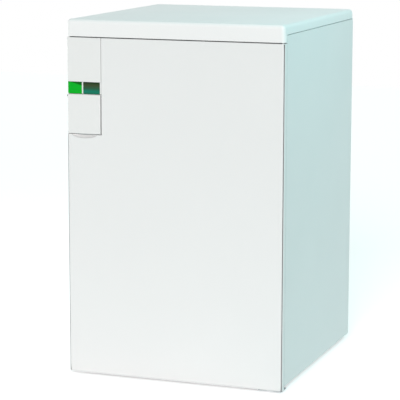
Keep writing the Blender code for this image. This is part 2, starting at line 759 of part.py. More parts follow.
def build_hinge_brackets():
    """Each bracket is an angle of thick sheet with its pin, and stands inside the door's line."""
    right = HALF - COVER_SHEET - FIT
    back = PANEL_FRONT - FIT
    plate = (FASCIA_BOTTOM, FASCIA_BOTTOM + BRACKET_SHEET)
    front = FRONT + COVER_SHEET + FIT
    shelf = box((right - BRACKET_WIDTH, right), (front, back), plate)
    round_edges(shelf, edges_at(shelf, along=Z, at=[(X, right), (Y, front)]), COVER_RADIUS, COVER_STEPS)
    upper = part("hinge_bracket_top", shelf, GALVANISED)
    leg = box((right - BRACKET_WIDTH, right), (back - BRACKET_SHEET, back), (plate[0], RAIL_TOP - FIT))
    pin = rod((PIVOT.x, PIVOT.y, DOOR_TOP - PIN_LENGTH), (PIVOT.x, PIVOT.y, plate[1] - FIT), PIN_RADIUS,
              SMALL_SIDES)
    join(upper, leg, pin)
    top = DOOR_BOTTOM - BRACKET_WASHER
    inner = HALF - FLANGE - FIT
    riser = INNER_FRONT + BRACKET_WIDTH / 2
    spans = (inner - BRACKET_WIDTH, HALF - SHEET), (FRONT + SHEET, riser), (top - BRACKET_SHEET, top)
    lower = part("hinge_bracket_bottom", box(*spans), GALVANISED)
    wall = box((inner - BRACKET_WIDTH, inner), (riser - BRACKET_SHEET, riser),
               (top - BRACKET_SHEET, BASE_BOTTOM - FIT))
    pad = box((inner - BRACKET_WIDTH, inner), (riser - BRACKET_SHEET, riser + BRACKET_WIDTH),
              (BASE_BOTTOM - FIT - BRACKET_SHEET, BASE_BOTTOM - FIT))
    pin = rod((PIVOT.x, PIVOT.y, top - BRACKET_SHEET / 2), (PIVOT.x, PIVOT.y, DOOR_BOTTOM + PIN_LENGTH),
              PIN_RADIUS, SMALL_SIDES)
    return join(lower, wall, pad, pin)


def build_side_panel(name, side):
    """A side panel folds inward on all four edges. The left one is notched for the control housing."""
    wall = side * HALF
    spans = [sorted((wall, wall - side * FLANGE)), [PANEL_FRONT, PANEL_BACK], [PANEL_BOTTOM, PANEL_TOP]]
    shell, inner = tray(spans, X, -side, SHEET)
    panel = cut(part(name, shell, CASE_WHITE), inner)
    if side < 0:
        notch = box((LEFT + SHEET_BEND, LEFT + FLANGE + OVERRUN),
                    (PANEL_FRONT - OVERRUN, PANEL_FRONT + SHEET + OVERRUN / 2),
                    (FLAP_BOTTOM - OVERRUN, HOUSING_TOP + OVERRUN / 2))
        slot = box((LEFT + SHEET_BEND + SHEET, LEFT + SHEET_BEND + SHEET + CATCH_WIDTH),
                   (PANEL_FRONT - OVERRUN, PANEL_FRONT + SHEET + OVERRUN), (CATCH_Z, CATCH_Z + CATCH_HEIGHT))
        cut(panel, together(notch, slot))
    return panel


def build_rear_panel():
    outline = rectangle((LEFT + REAR_INSET, HALF - REAR_INSET), (PANEL_BOTTOM, PANEL_TOP))
    holes = [
        circle((0, SPIGOT_Z), SPIGOT_RADIUS + SPIGOT_CLEARANCE, SPIGOT_SIDES),
        circle((-PIPE_X, FLOW_Z), PIPE_RADIUS + PIPE_CLEARANCE, ROUND_SIDES),
        circle((-PIPE_X, RETURN_Z), PIPE_RADIUS + PIPE_CLEARANCE, ROUND_SIDES),
        circle((GAS_PIPE_X, BURNER_Z), GAS_PIPE_RADIUS + PIPE_CLEARANCE, ROUND_SIDES),
        circle((-GLAND_X, GLAND_Z), GLAND_RADIUS + FIT, ROUND_SIDES),
    ]
    panel = part("rear_panel", extruded(Y, (BACK - SHEET, BACK), outline, *holes), CASE_WHITE)
    fold = HALF - FLANGE - FIT - FIT
    top = box((-fold, fold), (BACK - REAR_FOLD, BACK - SHEET / 2), (PANEL_TOP - SHEET, PANEL_TOP))
    bottom = box((-fold, fold), (BACK - REAR_FOLD, BACK - SHEET / 2), (PANEL_BOTTOM, PANEL_BOTTOM + SHEET))
    return join(panel, top, bottom)


def foot_places():
    across = HALF - FOOT_INSET_X
    near = FRONT + FOOT_INSET_Y
    far = BACK - FOOT_INSET_Y
    return [(-across, near), (across, near), (-across, far), (across, far)]


def build_base():
    """The base tray has a wide air inlet under the burner and a hole for each levelling foot."""
    spans = [[-INNER_HALF, INNER_HALF], [INNER_FRONT, INNER_BACK - FIT],
             [BASE_BOTTOM, BASE_BOTTOM + BASE_HEIGHT]]
    shell, inner = tray(spans, Z, 1, BASE_SHEET)
    base = cut(part("base_tray", shell, GALVANISED), inner)
    depth = (BASE_BOTTOM - OVERRUN, BASE_FLOOR + OVERRUN)
    middle = (BLOCK_Y + BLOCK_END) / 2
    inlet = box((-AIR_WIDTH / 2, AIR_WIDTH / 2), (middle - AIR_DEPTH / 2, middle + AIR_DEPTH / 2), depth)
    holes = [rod((x, y, depth[0]), (x, y, depth[1]), FOOT_STUD_RADIUS + FIT, SMALL_SIDES)
             for x, y in foot_places()]
    return cut(base, together(inlet, *holes))


def build_foot(number, x, y):
    """A levelling foot: a pad with its stud, and the hexagon that the tray rests on."""
    chamfer = FOOT_PAD_HEIGHT / 4
    profile = [
        (0, FOOT_STUD_TOP), (FOOT_STUD_RADIUS - chamfer, FOOT_STUD_TOP),
        (FOOT_STUD_RADIUS, FOOT_STUD_TOP - chamfer),
        (FOOT_STUD_RADIUS, FOOT_PAD_HEIGHT), (FOOT_PAD_RADIUS - chamfer, FOOT_PAD_HEIGHT),
        (FOOT_PAD_RADIUS, FOOT_PAD_HEIGHT - chamfer), (FOOT_PAD_RADIUS, 0), (0, 0),
    ]
    foot = turned(f"levelling_foot_{number}", profile, STEEL, (x, y, 0), sides=SMALL_SIDES)
    top = BASE_BOTTOM - FIT
    return join(foot, rod((x, y, top - FOOT_NUT_HEIGHT), (x, y, top), FOOT_NUT_RADIUS, HEX_SIDES))


def build_front_rail():
    """A channel across the case, open to the back, which ties the side panels under the cover."""
    spans = [[-INNER_HALF, INNER_HALF], [INNER_FRONT, INNER_FRONT + RAIL_DEPTH],
             [RAIL_TOP - RAIL_HEIGHT, RAIL_TOP]]
    shell, inner = tray(spans, Y, 1, SHEET)
    rail = part("front_top_rail", shell, GALVANISED)
    return cut(rail, inner)


def build_magnet_catch():
    """The catch sits behind the side panel's front fold, and its two poles reach through a slot."""
    across = LEFT + SHEET_BEND + SHEET + FIT, LEFT + SHEET_BEND + SHEET + CATCH_WIDTH - FIT
    behind = PANEL_FRONT + SHEET + FIT
    body = box((across[0], LEFT + FLANGE + CATCH_WIDTH), (behind, behind + CATCH_DEPTH),
               (CATCH_Z - CATCH_WIDTH, CATCH_Z + CATCH_HEIGHT + CATCH_WIDTH))
    round_edges(body, edges_at(body, along=Y), SHEET, 2)
    catch = part("magnet_catch", body, BLACK_PLASTIC)
    front = DOOR_BACK + POLE_GAP
    pole = CATCH_HEIGHT / 3
    low = box(across, (front, behind + SHEET), (CATCH_Z + FIT, CATCH_Z + pole))
    high = box(across, (front, behind + SHEET), (CATCH_Z + CATCH_HEIGHT - pole, CATCH_Z + CATCH_HEIGHT - FIT))
    return join(catch, low, high)


def build_case():
    build_top_cover()
    build_door()
    build_door_pad()
    build_hinge_brackets()
    build_side_panel("side_panel_left", -1)
    build_side_panel("side_panel_right", 1)
    build_rear_panel()
    build_base()
    for number, (x, y) in enumerate(foot_places(), start=1):
        build_foot(number, x, y)
    build_front_rail()
    build_magnet_catch()


def arc(centre, radius, start, end, steps=COVER_STEPS):
    """The points of an arc in an outline, from a start to an end angle in degrees."""
    turns = [math.radians(start + (end - start) * step / steps) for step in range(steps + 1)]
    return [(centre[0] + radius * math.cos(turn), centre[1] + radius * math.sin(turn)) for turn in turns]


def column_shell(name, height, right, finish):
    """A moulded cap on the corner of the case, rounded at the front and open at the back."""
    outer = box((LEFT, right), (FRONT, FRONT + FRAME_BACK), height)
    round_edges(outer, edges_at(outer, along=Z, at=[(X, LEFT), (Y, FRONT)]), COLUMN_RADIUS, COVER_STEPS)
    round_edges(outer, edges_at(outer, along=Z, at=[(X, right), (Y, FRONT)]), COLUMN_EDGE_RADIUS, 2)
    inner = box((LEFT + MOULD, right - MOULD), (FRONT + MOULD, FRONT + FRAME_BACK + OVERRUN),
                (height[0] + MOULD, height[1] - MOULD))
    corner = edges_at(inner, along=Z, at=[(X, LEFT + MOULD), (Y, FRONT + MOULD)])
    round_edges(inner, corner, COLUMN_RADIUS - MOULD, COVER_STEPS)
    return cut(part(name, outer, finish), inner)


def build_window():
    """The window: a frame with a bar, a green lens that wraps the corner and a dark lens."""
    height = (WINDOW_BOTTOM + FIT, WINDOW_TOP - FIT)
    lens_back = FRONT + LENS_FACE + LENS_THICKNESS
    back = FRONT + FRAME_BACK
    base = box((LEFT + COLUMN_RADIUS, COLUMN_RIGHT), (lens_back + FIT, back), height)
    frame = part("window_frame", base, CONTROL_WHITE)
    front = FRONT + LENS_FACE / 2
    bar = box((LEFT + GREEN_RIGHT + FIT, LEFT + BAR_RIGHT - FIT), (front, back - FIT), height)
    strip = box((LEFT + DARK_RIGHT + FIT, COLUMN_RIGHT), (front, back - FIT), height)
    join(frame, together(bar, strip))
    depth = (front - OVERRUN, back + OVERRUN)
    opening = (height[0] + FRAME_RAIL, height[1] - FRAME_RAIL)
    green = box((LEFT + COLUMN_RADIUS - OVERRUN, LEFT + GREEN_RIGHT - FIT), depth, opening)
    dark = box((LEFT + BAR_RIGHT + FIT, LEFT + DARK_RIGHT - FIT), depth, opening)
    cut(frame, together(green, dark))
    wrap = box((LEFT + FIT, LEFT + GREEN_RIGHT), (FRONT + LENS_FACE, back), height)
    round_edges(wrap, edges_at(wrap, along=Z, at=[(X, LEFT + FIT), (Y, FRONT + LENS_FACE)]),
                COLUMN_RADIUS, COVER_STEPS)
    inside = box((LEFT + FIT + LENS_THICKNESS, LEFT + GREEN_RIGHT + OVERRUN), (lens_back, back + OVERRUN),
                 (height[0] - OVERRUN, height[1] + OVERRUN))
    corner = edges_at(inside, along=Z, at=[(X, LEFT + FIT + LENS_THICKNESS), (Y, lens_back)])
    round_edges(inside, corner, COLUMN_RADIUS - LENS_THICKNESS, COVER_STEPS)
    cut(part("green_lens", wrap, GREEN_LENS), inside)
    pane = box((LEFT + BAR_RIGHT, LEFT + DARK_RIGHT), (FRONT + LENS_FACE, lens_back), height)
    part("dark_lens", pane, DARK_LENS)


def build_lamp_and_thermometer():
    seat = FRONT + FRAME_BACK
    middle = (WINDOW_BOTTOM + WINDOW_TOP) / 2
    edge = LAMP_RADIUS / 3
    dome = [(0, LAMP_PROUD)] + [
        (LAMP_RADIUS - edge + edge * math.sin(turn), LAMP_PROUD - edge + edge * math.cos(turn))
        for turn in (0, math.pi / 4, math.pi / 2)
    ] + [(LAMP_RADIUS, 0), (0, 0)]
    turned("indicator_lamp", dome, GREY_PLASTIC, (LEFT + LAMP_X, seat, middle), "front", SMALL_SIDES)
    height = FRAME_BACK - DIAL_FACE_DEPTH
    profile = [
        (0, height), (DIAL_RADIUS, height), (DIAL_RADIUS, height - DIAL_THICKNESS),
        (DIAL_STEM_RADIUS, height - DIAL_THICKNESS), (DIAL_STEM_RADIUS, 0), (0, 0),
    ]
    turned("thermometer_dial", profile, DIAL_WHITE, (LEFT + DIAL_X, seat, middle), "front")
    face = FRONT + DIAL_FACE_DEPTH - FIT
    pivot = Vector((LEFT + DIAL_X, face, middle))
    hub = rod(pivot, pivot - Vector((0, NEEDLE_THICKNESS, 0)), NEEDLE_HUB_RADIUS, SMALL_SIDES)
    needle = part("thermometer_needle", hub, RED_PLASTIC, pivot)
    pointer = box((-NEEDLE_WIDTH / 2, NEEDLE_WIDTH / 2), (-NEEDLE_THICKNESS, 0), (0, NEEDLE_LENGTH))
    pointer.transform(Matrix.Translation(pivot) @ Matrix.Rotation(NEEDLE_START, 4, "Y"))
    join(needle, pointer)


def ear(inner, outer):
    """A hinge ear of the housing: an arm with a round end on the flap's axis."""
    bottom = FLAP_PIVOT.z - EAR_RADIUS
    top = FLAP_PIVOT.z + EAR_RADIUS
    reach = HOUSING_RIM + OVERRUN / 2
    rounded = arc((FLAP_PIVOT.y, FLAP_PIVOT.z), EAR_RADIUS, 90, 270, 2 * COVER_STEPS)
    return extruded(X, (inner, outer), [(reach, bottom), (reach, top)] + rounded)


def build_flap():
    """The flap turns on a bead along its top edge. Its left end is notched for the left ear."""
    plan = [(LEFT, FLAP_BACK)]
    plan += arc((LEFT + COLUMN_RADIUS, FRONT + COLUMN_RADIUS), COLUMN_RADIUS, 180, 270)
    plan += arc((FLAP_RIGHT - FLAP_EDGE_RADIUS, FRONT + FLAP_EDGE_RADIUS), FLAP_EDGE_RADIUS, 270, 360)
    plan.append((FLAP_RIGHT, FLAP_BACK))
    side = [(FLAP_BACK, FLAP_BOTTOM)]
    side += arc((FRONT + COLUMN_EDGE_RADIUS, FLAP_BOTTOM + COLUMN_EDGE_RADIUS), COLUMN_EDGE_RADIUS, 270,
                180, 2)
    side += arc((FLAP_PIVOT.y, FLAP_PIVOT.z), FLAP_BEAD_RADIUS, 180, 0, 2 * COVER_STEPS)
    flap = part("control_flap", extruded(Z, (FLAP_BOTTOM - OVERRUN, FLAP_TOP + OVERRUN), plan),
                CONTROL_WHITE, FLAP_PIVOT)
    boolean(flap, extruded(X, (LEFT - OVERRUN, FLAP_RIGHT + OVERRUN), side), "INTERSECT")
    under_bead = FLAP_PIVOT.z - FLAP_BEAD_RADIUS + MOULD / 2
    hollow = box((LEFT + MOULD, FLAP_RIGHT - MOULD), (FRONT + MOULD, FLAP_BACK + OVERRUN),
                 (FLAP_BOTTOM + MOULD, under_bead))
    corner = edges_at(hollow, along=Z, at=[(X, LEFT + MOULD), (Y, FRONT + MOULD)])
    round_edges(hollow, corner, COLUMN_RADIUS - MOULD, COVER_STEPS)
    notch = box((LEFT - OVERRUN, FLAP_LEFT_EAR + FIT), (FRONT - OVERRUN, FLAP_BACK + OVERRUN),
                (FLAP_PIVOT.z - EAR_RADIUS - COLUMN_GAP, FLAP_TOP + OVERRUN))
    bore = rod((LEFT - OVERRUN, FLAP_PIVOT.y, FLAP_PIVOT.z),
               (FLAP_RIGHT + OVERRUN, FLAP_PIVOT.y, FLAP_PIVOT.z),
               FLAP_PIN_RADIUS + FLAP_PIN_CLEARANCE, SMALL_SIDES)
    cut(flap, hollow, notch, bore)
    ends = (LEFT + FIT, FLAP_RIGHT + FIT + EAR_WIDTH)
    pin = rod((ends[0], FLAP_PIVOT.y, FLAP_PIVOT.z), (ends[1], FLAP_PIVOT.y, FLAP_PIVOT.z),
              FLAP_PIN_RADIUS, SMALL_SIDES)
    part("flap_hinge_pin", pin, STEEL)


def panel_hole(x, z, radius):
    depth = (PANEL_FACE - BUTTON_COLLAR - OVERRUN, PANEL_FACE + HOUSING_WALL + OVERRUN)
    return rod((LEFT + x, depth[0], z), (LEFT + x, depth[1], z), radius, SMALL_SIDES)


def collar(x, radius):
    near = (LEFT + x, PANEL_FACE - BUTTON_COLLAR, BUTTON_Z)
    far = (LEFT + x, PANEL_FACE + HOUSING_WALL / 2, BUTTON_Z)
    return rod(near, far, radius, SMALL_SIDES)


def build_housing():
    """The moulded control housing: a plate behind the cover and window, a recess behind the flap with
    the control panel as its floor, and an open back that its own cover closes."""
    right = COLUMN_RIGHT - FIT
    inside_left = LEFT + SHEET_BEND + FIT
    seat = PANEL_FRONT - FIT
    face = box((LEFT + FIT, right), (HOUSING_FRONT, seat), (COLUMN_BOTTOM, DOOR_TOP))
    housing = part("control_housing", face, GREY_PLASTIC)
    rim = box((LEFT + FIT, right), (HOUSING_RIM, seat - FIT), (COLUMN_BOTTOM + FIT, FLAP_TOP - FIT))
    body = box((inside_left, right - FIT), (seat - HOUSING_WALL, FRONT + HOUSING_BACK),
               (COLUMN_BOTTOM + HOUSING_WALL, HOUSING_TOP))
    join(housing, rim, body)
    recess_top = FLAP_PIVOT.z - FLAP_BEAD_RADIUS
    recess = box((LEFT + RECESS_MARGIN, FLAP_RIGHT - RECESS_MARGIN), (HOUSING_RIM - OVERRUN, PANEL_FACE),
                 (FLAP_BOTTOM + RECESS_MARGIN, recess_top))
    hollow_width = (inside_left + HOUSING_WALL, right - FIT - HOUSING_WALL)
    floor = PANEL_FACE + HOUSING_WALL
    rear = box(hollow_width, (floor, FRONT + HOUSING_BACK + OVERRUN),
               (COLUMN_BOTTOM + HOUSING_WALL + HOUSING_WALL, HOUSING_TOP - HOUSING_WALL))
    upper = box(hollow_width, (HOUSING_FRONT + HOUSING_WALL, floor + OVERRUN),
                (recess_top + HOUSING_WALL, HOUSING_TOP - HOUSING_WALL))
    cut(housing, recess, rear, upper)
    join(housing, ear(LEFT + FIT, FLAP_LEFT_EAR), ear(FLAP_RIGHT + FIT, FLAP_RIGHT + FIT + EAR_WIDTH))
    join(housing, together(collar(IGNITION_X, IGNITION_RADIUS + BUTTON_COLLAR),
                           collar(RESET_X, RESET_RADIUS + BUTTON_COLLAR)))
    switch = box((LEFT + SWITCH_X - SWITCH_WIDTH / 2 - FIT, LEFT + SWITCH_X + SWITCH_WIDTH / 2 + FIT),
                 (PANEL_FACE - OVERRUN, floor + OVERRUN),
                 (SWITCH_Z - SWITCH_HALF_HEIGHT - SWITCH_CLEARANCE,
                  SWITCH_Z + SWITCH_HALF_HEIGHT + SWITCH_CLEARANCE))
    knob = panel_hole(KNOB_X, KNOB_Z, KNOB_SHAFT_RADIUS + BUTTON_CLEARANCE)
    ignition = panel_hole(IGNITION_X, BUTTON_Z, IGNITION_RADIUS + BUTTON_CLEARANCE)
    reset = panel_hole(RESET_X, BUTTON_Z, RESET_RADIUS + BUTTON_CLEARANCE)
    cut(housing, together(switch, knob, ignition, reset))
    pin = rod((LEFT - OVERRUN, FLAP_PIVOT.y, FLAP_PIVOT.z), (NOTCH_RIGHT, FLAP_PIVOT.y, FLAP_PIVOT.z),
              FLAP_PIN_RADIUS + FLAP_PIN_CLEARANCE, SMALL_SIDES)
    cut(housing, pin)
    plate = box((inside_left, right - FIT),
                (FRONT + HOUSING_BACK + FIT, FRONT + HOUSING_BACK + FIT + HOUSING_WALL),
                (COLUMN_BOTTOM + HOUSING_WALL, HOUSING_TOP))
    part("housing_back_cover", plate, GREY_PLASTIC)


def build_switch():
    """A rocker with a shallow hollow front, held tilted to its off side."""
    pivot = Vector((LEFT + SWITCH_X, PANEL_FACE + SWITCH_PIVOT_DEPTH, SWITCH_Z))
    front = pivot.y - SWITCH_REACH
    back = pivot.y + SWITCH_PIVOT_DEPTH
    low = SWITCH_Z - SWITCH_HALF_HEIGHT
    high = SWITCH_Z + SWITCH_HALF_HEIGHT
    outline = [(back, low), (front, low), (front + SWITCH_CLEARANCE / 2, SWITCH_Z), (front, high),
               (back, high)]
    width = (LEFT + SWITCH_X - SWITCH_WIDTH / 2, LEFT + SWITCH_X + SWITCH_WIDTH / 2)
    switch = part("power_switch", extruded(X, width, outline), BLACK_PLASTIC, pivot)
    switch.rotation_euler = (SWITCH_TILT, 0, 0)


def fluted_knob(name, place, radius, grip, height, flutes):
    """A knob with a skirt, a fluted grip and its shaft behind the face that it stands on."""
    chamfer = FLUTE_RADIUS / 2
    skirt = KNOB_SKIRT
    shaft = KNOB_SHAFT_RADIUS
    tail = KNOB_SHAFT_LENGTH
    profile = [
        (0, height), (grip - chamfer, height), (grip, height - chamfer), (grip, skirt),
        (radius - chamfer, skirt), (radius, skirt - chamfer), (radius, FIT),
        (shaft, FIT), (shaft, -tail), (0, -tail),
    ]
    knob = turned(name, profile, BLACK_PLASTIC, place, "front")
    bpy.context.view_layer.update()
    flute_cutters = []
    for number in range(flutes):
        turn = 2 * math.pi * (number + 1 / 2) / flutes
        across = Vector((grip + FLUTE_RADIUS / 3, 0, 0))
        across.rotate(Matrix.Rotation(turn, 3, "Z"))
        base = knob.matrix_world @ (across + Vector((0, 0, skirt + chamfer)))
        tip = knob.matrix_world @ (across + Vector((0, 0, height + OVERRUN)))
        flute_cutters.append(rod(base, tip, FLUTE_RADIUS, FLUTE_SIDES))
    return cut(knob, together(*flute_cutters))


def build_button(name, x, radius, finish):
    chamfer = BUTTON_FLANGE / 3
    seat = -(HOUSING_WALL + FIT)
    profile = [
        (0, BUTTON_PROUD), (radius - chamfer, BUTTON_PROUD), (radius, BUTTON_PROUD - chamfer), (radius, seat),
        (radius + BUTTON_FLANGE, seat), (radius + BUTTON_FLANGE, seat - BUTTON_FLANGE),
        (radius / 2, seat - BUTTON_FLANGE), (radius / 2, seat - BUTTON_FLANGE - BUTTON_TAIL),
        (0, seat - BUTTON_FLANGE - BUTTON_TAIL),
    ]
    turned(name, profile, finish, (LEFT + x, PANEL_FACE, BUTTON_Z), "front", SMALL_SIDES)


def build_control_column():
    column_shell("control_cover", (WINDOW_TOP + FIT, DOOR_TOP), COLUMN_RIGHT, CONTROL_WHITE)
    build_window()
    build_lamp_and_thermometer()
    build_flap()
    build_housing()
    build_switch()
    fluted_knob("thermostat_knob", (LEFT + KNOB_X, PANEL_FACE, KNOB_Z), KNOB_RADIUS, KNOB_GRIP_RADIUS,
                KNOB_HEIGHT, KNOB_FLUTES)
    build_button("ignition_button", IGNITION_X, IGNITION_RADIUS, RED_PLASTIC)
    build_button("overheat_reset_button", RESET_X, RESET_RADIUS, BLACK_PLASTIC)


def lathed(profile, place, facing="up", sides=SMALL_SIDES):
    """A turned solid as a mesh, to join or cut with. Its profile is given as for a turned piece."""
    bm = bmesh.new()
    verts = [bm.verts.new((radius, 0, height)) for radius, height in profile]
    edges = [bm.edges.new(pair) for pair in zip(verts, verts[1:])]
    bmesh.ops.spin(bm, geom=verts + edges, cent=(0, 0, 0), axis=(0, 0, 1), angle=2 * math.pi, steps=sides,
                   use_merge=True)
    bmesh.ops.remove_doubles(bm, verts=bm.verts, dist=WELD)
    bmesh.ops.recalc_face_normals(bm, faces=bm.faces)
    bm.transform(Matrix.Translation(place) @ Euler(FACING[facing]).to_matrix().to_4x4())
    return bm


def inset(points, distance):
    """An outline moved inward. Its points go round counter-clockwise."""
    moved = []
    for before, point, after in zip(points[-1:] + points, points, points[1:] + points[:1]):
        arriving = (Vector(point) - Vector(before)).normalized()
        leaving = (Vector(after) - Vector(point)).normalized()
        first = Vector((-arriving.y, arriving.x))
        second = Vector((-leaving.y, leaving.x))
        moved.append(Vector(point) + (first + second) * distance / (1 + first.dot(second)))
    return moved


def rod_places():
    across = BLOCK_WIDTH / 2 - ROD_INSET
    return [(x, z) for z in (BLOCK_BOTTOM + ROD_INSET, BLOCK_TOP - ROD_INSET) for x in (-across, across)]


def flue_cutters(y, inward):
    """Cutters for one mating face of a section: the shallow recess, and the slots between its fins."""
    height = (BLOCK_BOTTOM - OVERRUN, BLOCK_TOP + OVERRUN)
    outside = y - inward * OVERRUN
    floor = y + inward * FLUE_RECESS
    crest = floor - inward * FIN_REACH
    reach = FLUE_WIDTH / 2 + FLUE_RIM
    pitch = FLUE_WIDTH / (FIN_COUNT + 1)
    half = (pitch - FIN_WIDTH) / 2
    middles = [pitch * (number - FIN_COUNT / 2) for number in range(FIN_COUNT + 1)]
    recess = box((-reach, reach), (outside, crest), height)
    slots = [box((middle - half, middle + half), (outside, floor), height) for middle in middles]
    return recess, together(*slots)


def build_section(name, number):
    """A cast-iron section. Only its faces towards another section have flue recesses and fins."""
    half = BLOCK_WIDTH / 2
    front = BLOCK_Y + number * (SECTION_DEPTH + SECTION_GAP)
    back = front + SECTION_DEPTH
    casting = box((-half, half), (front, back), (BLOCK_BOTTOM, BLOCK_TOP))
    for side in (-half, half):
        round_edges(casting, edges_at(casting, along=Y, at=[(Z, BLOCK_TOP), (X, side)]), SECTION_RADIUS,
                    COVER_STEPS)
    section = part(name, casting, CAST_IRON)
    if number > 0:
        cut(section, *flue_cutters(front, 1))
    if number < SECTION_COUNT - 1:
        cut(section, *flue_cutters(back, -1))
    bores = [rod((x, front - OVERRUN, z), (x, back + OVERRUN, z), ROD_RADIUS + ROD_CLEARANCE, SMALL_SIDES)
             for x, z in rod_places()]
    if number == SECTION_COUNT - 1:
        bores += [rod((-PIPE_X, back - PORT_DEPTH, z), (-PIPE_X, back + OVERRUN, z), PIPE_BORE)
                  for z in (FLOW_Z, RETURN_Z)]
    if number == 0:
        bores.append(rod((-DRAIN_X, front - OVERRUN, DRAIN_Z), (-DRAIN_X, front + PORT_DEPTH, DRAIN_Z),
                         DRAIN_BORE, SMALL_SIDES))
    return cut(section, together(*bores))


def build_tie_rod(number, x, z):
    """A tie rod through all four sections, with a hexagon nut at each end."""
    ends = (BLOCK_Y - ROD_STICK_OUT, BLOCK_END + ROD_STICK_OUT)
    tie = part(f"tie_rod_{number}", rod((x, ends[0], z), (x, ends[1], z), ROD_RADIUS, SMALL_SIDES), STEEL)
    near = rod((x, BLOCK_Y - FIT - ROD_NUT_HEIGHT, z), (x, BLOCK_Y - FIT, z), ROD_NUT_RADIUS, HEX_SIDES)
    far = rod((x, BLOCK_END + FIT, z), (x, BLOCK_END + FIT + ROD_NUT_HEIGHT, z), ROD_NUT_RADIUS, HEX_SIDES)
    return join(tie, together(near, far))


def build_jacket():
    """Foil-faced insulation round the front and sides of the block, with pockets for the nuts."""
    inside = BLOCK_WIDTH / 2 + JACKET_GAP
    outside = inside + JACKET_THICKNESS
    near = BLOCK_Y - JACKET_GAP
    front = near - JACKET_THICKNESS
    outline = [(-outside, front), (outside, front), (outside, BLOCK_END), (inside, BLOCK_END), (inside, near),
               (-inside, near), (-inside, BLOCK_END), (-outside, BLOCK_END)]
    blanket = extruded(Z, (BLOCK_BOTTOM + JACKET_TRIM, BLOCK_TOP - JACKET_TRIM), outline)
    for side in (-outside, outside):
        corner = edges_at(blanket, along=Z, at=[(X, side), (Y, front)])
        round_edges(blanket, corner, JACKET_THICKNESS / 2, COVER_STEPS)
    jacket = part("insulation_jacket", blanket, FOIL)
    pockets = [rod((x, BLOCK_Y - ROD_STICK_OUT - JACKET_GAP, z), (x, near + OVERRUN, z),
                   ROD_NUT_RADIUS + JACKET_GAP, SMALL_SIDES)
               for x, z in rod_places()]
    drain = rod((-DRAIN_X, front - OVERRUN, DRAIN_Z), (-DRAIN_X, near + OVERRUN, DRAIN_Z),
                DRAIN_RADIUS + JACKET_GAP)
    return cut(jacket, together(drain, *pockets))


def build_chamber():
    """The combustion chamber: four walls, a front opening behind the burner plate, a shelf inside."""
    half = CHAMBER_WIDTH / 2
    walls = rectangle((-half, half), (CHAMBER_FRONT, CHAMBER_BACK))
    inside = inset(walls, CHAMBER_SHEET)
    chamber = part("combustion_chamber", extruded(Z, (CHAMBER_BOTTOM, CHAMBER_TOP), walls, inside),
                   BURNER_STEEL)
    reach = PLATE_WIDTH / 2 - BURNER_OPENING_MARGIN
    opening = box((-reach, reach), (CHAMBER_FRONT - OVERRUN, CHAMBER_FRONT + CHAMBER_SHEET + OVERRUN),
                  (PLATE_BOTTOM + BURNER_OPENING_MARGIN, PLATE_TOP - BURNER_OPENING_MARGIN))
    cut(chamber, opening)
    top = BURNER_Z - BURNER_HEIGHT / 2 - FIT
    shelf = box((-reach, reach),
                (CHAMBER_BACK - CHAMBER_SHEET - SHELF_DEPTH, CHAMBER_BACK - CHAMBER_SHEET / 2),
                (top - SHELF_HEIGHT, top))
    return join(chamber, shelf)


def build_stand():
    """Two channels under the chamber's sides, held apart by a bar at the front and one at the back."""
    bottom = BASE_FLOOR + FIT
    top = CHAMBER_BOTTOM - FIT
    web = STAND_SPREAD / 2
    channels = []
    for side in (-1, 1):
        profile = [(web, bottom), (web + STAND_FLANGE, bottom), (web + STAND_FLANGE, bottom + STAND_SHEET),
                   (web + STAND_SHEET, bottom + STAND_SHEET), (web + STAND_SHEET, top - STAND_SHEET),
                   (web + STAND_FLANGE, top - STAND_SHEET), (web + STAND_FLANGE, top), (web, top)]
        outline = [(side * x, z) for x, z in profile]
        channels.append(extruded(Y, (BLOCK_Y, BLOCK_END), outline))
    stand = part("block_stand", together(*channels), GALVANISED)
    bars = []
    for ends in ((BLOCK_Y + FIT, BLOCK_Y + STAND_FLANGE), (BLOCK_END - STAND_FLANGE, BLOCK_END - FIT)):
        bars.append(box((-web - STAND_SHEET / 2, web + STAND_SHEET / 2), ends,
                        (bottom + FIT, bottom + STAND_SHEET)))
    return join(stand, together(*bars))


def hood_outline(base):
    """The side view of the smoke hood, with its sloped front run down to a base height."""
    seat = BLOCK_TOP + FIT
    step = seat + HOOD_STEP
    back = DIVERTER_FRONT - FIT
    front = BLOCK_Y + HOOD_LIP
    lean = HOOD_FRONT_SLOPE / (HOOD_TOP - seat)
    return [(front + lean * (base - seat), base), (BLOCK_END, base), (BLOCK_END, step), (back, step),
            (back, HOOD_TOP), (front + HOOD_FRONT_SLOPE, HOOD_TOP)]


def build_smoke_hood():
    """The hood gathers the flue gas on top of the block and passes it to the draught diverter."""
    seat = BLOCK_TOP + FIT
    half = HOOD_WIDTH / 2
    hood = part("smoke_hood", extruded(X, (-half, half), hood_outline(seat)), GALVANISED)
    inner = extruded(X, (HOOD_SHEET - half, half - HOOD_SHEET),
                     inset(hood_outline(seat - OVERRUN), HOOD_SHEET))
    mouth = box((-MOUTH_WIDTH / 2, MOUTH_WIDTH / 2), (BLOCK_END, DIVERTER_FRONT + OVERRUN),
                (MOUTH_BOTTOM, MOUTH_BOTTOM + MOUTH_HEIGHT))
    return cut(hood, inner, mouth)


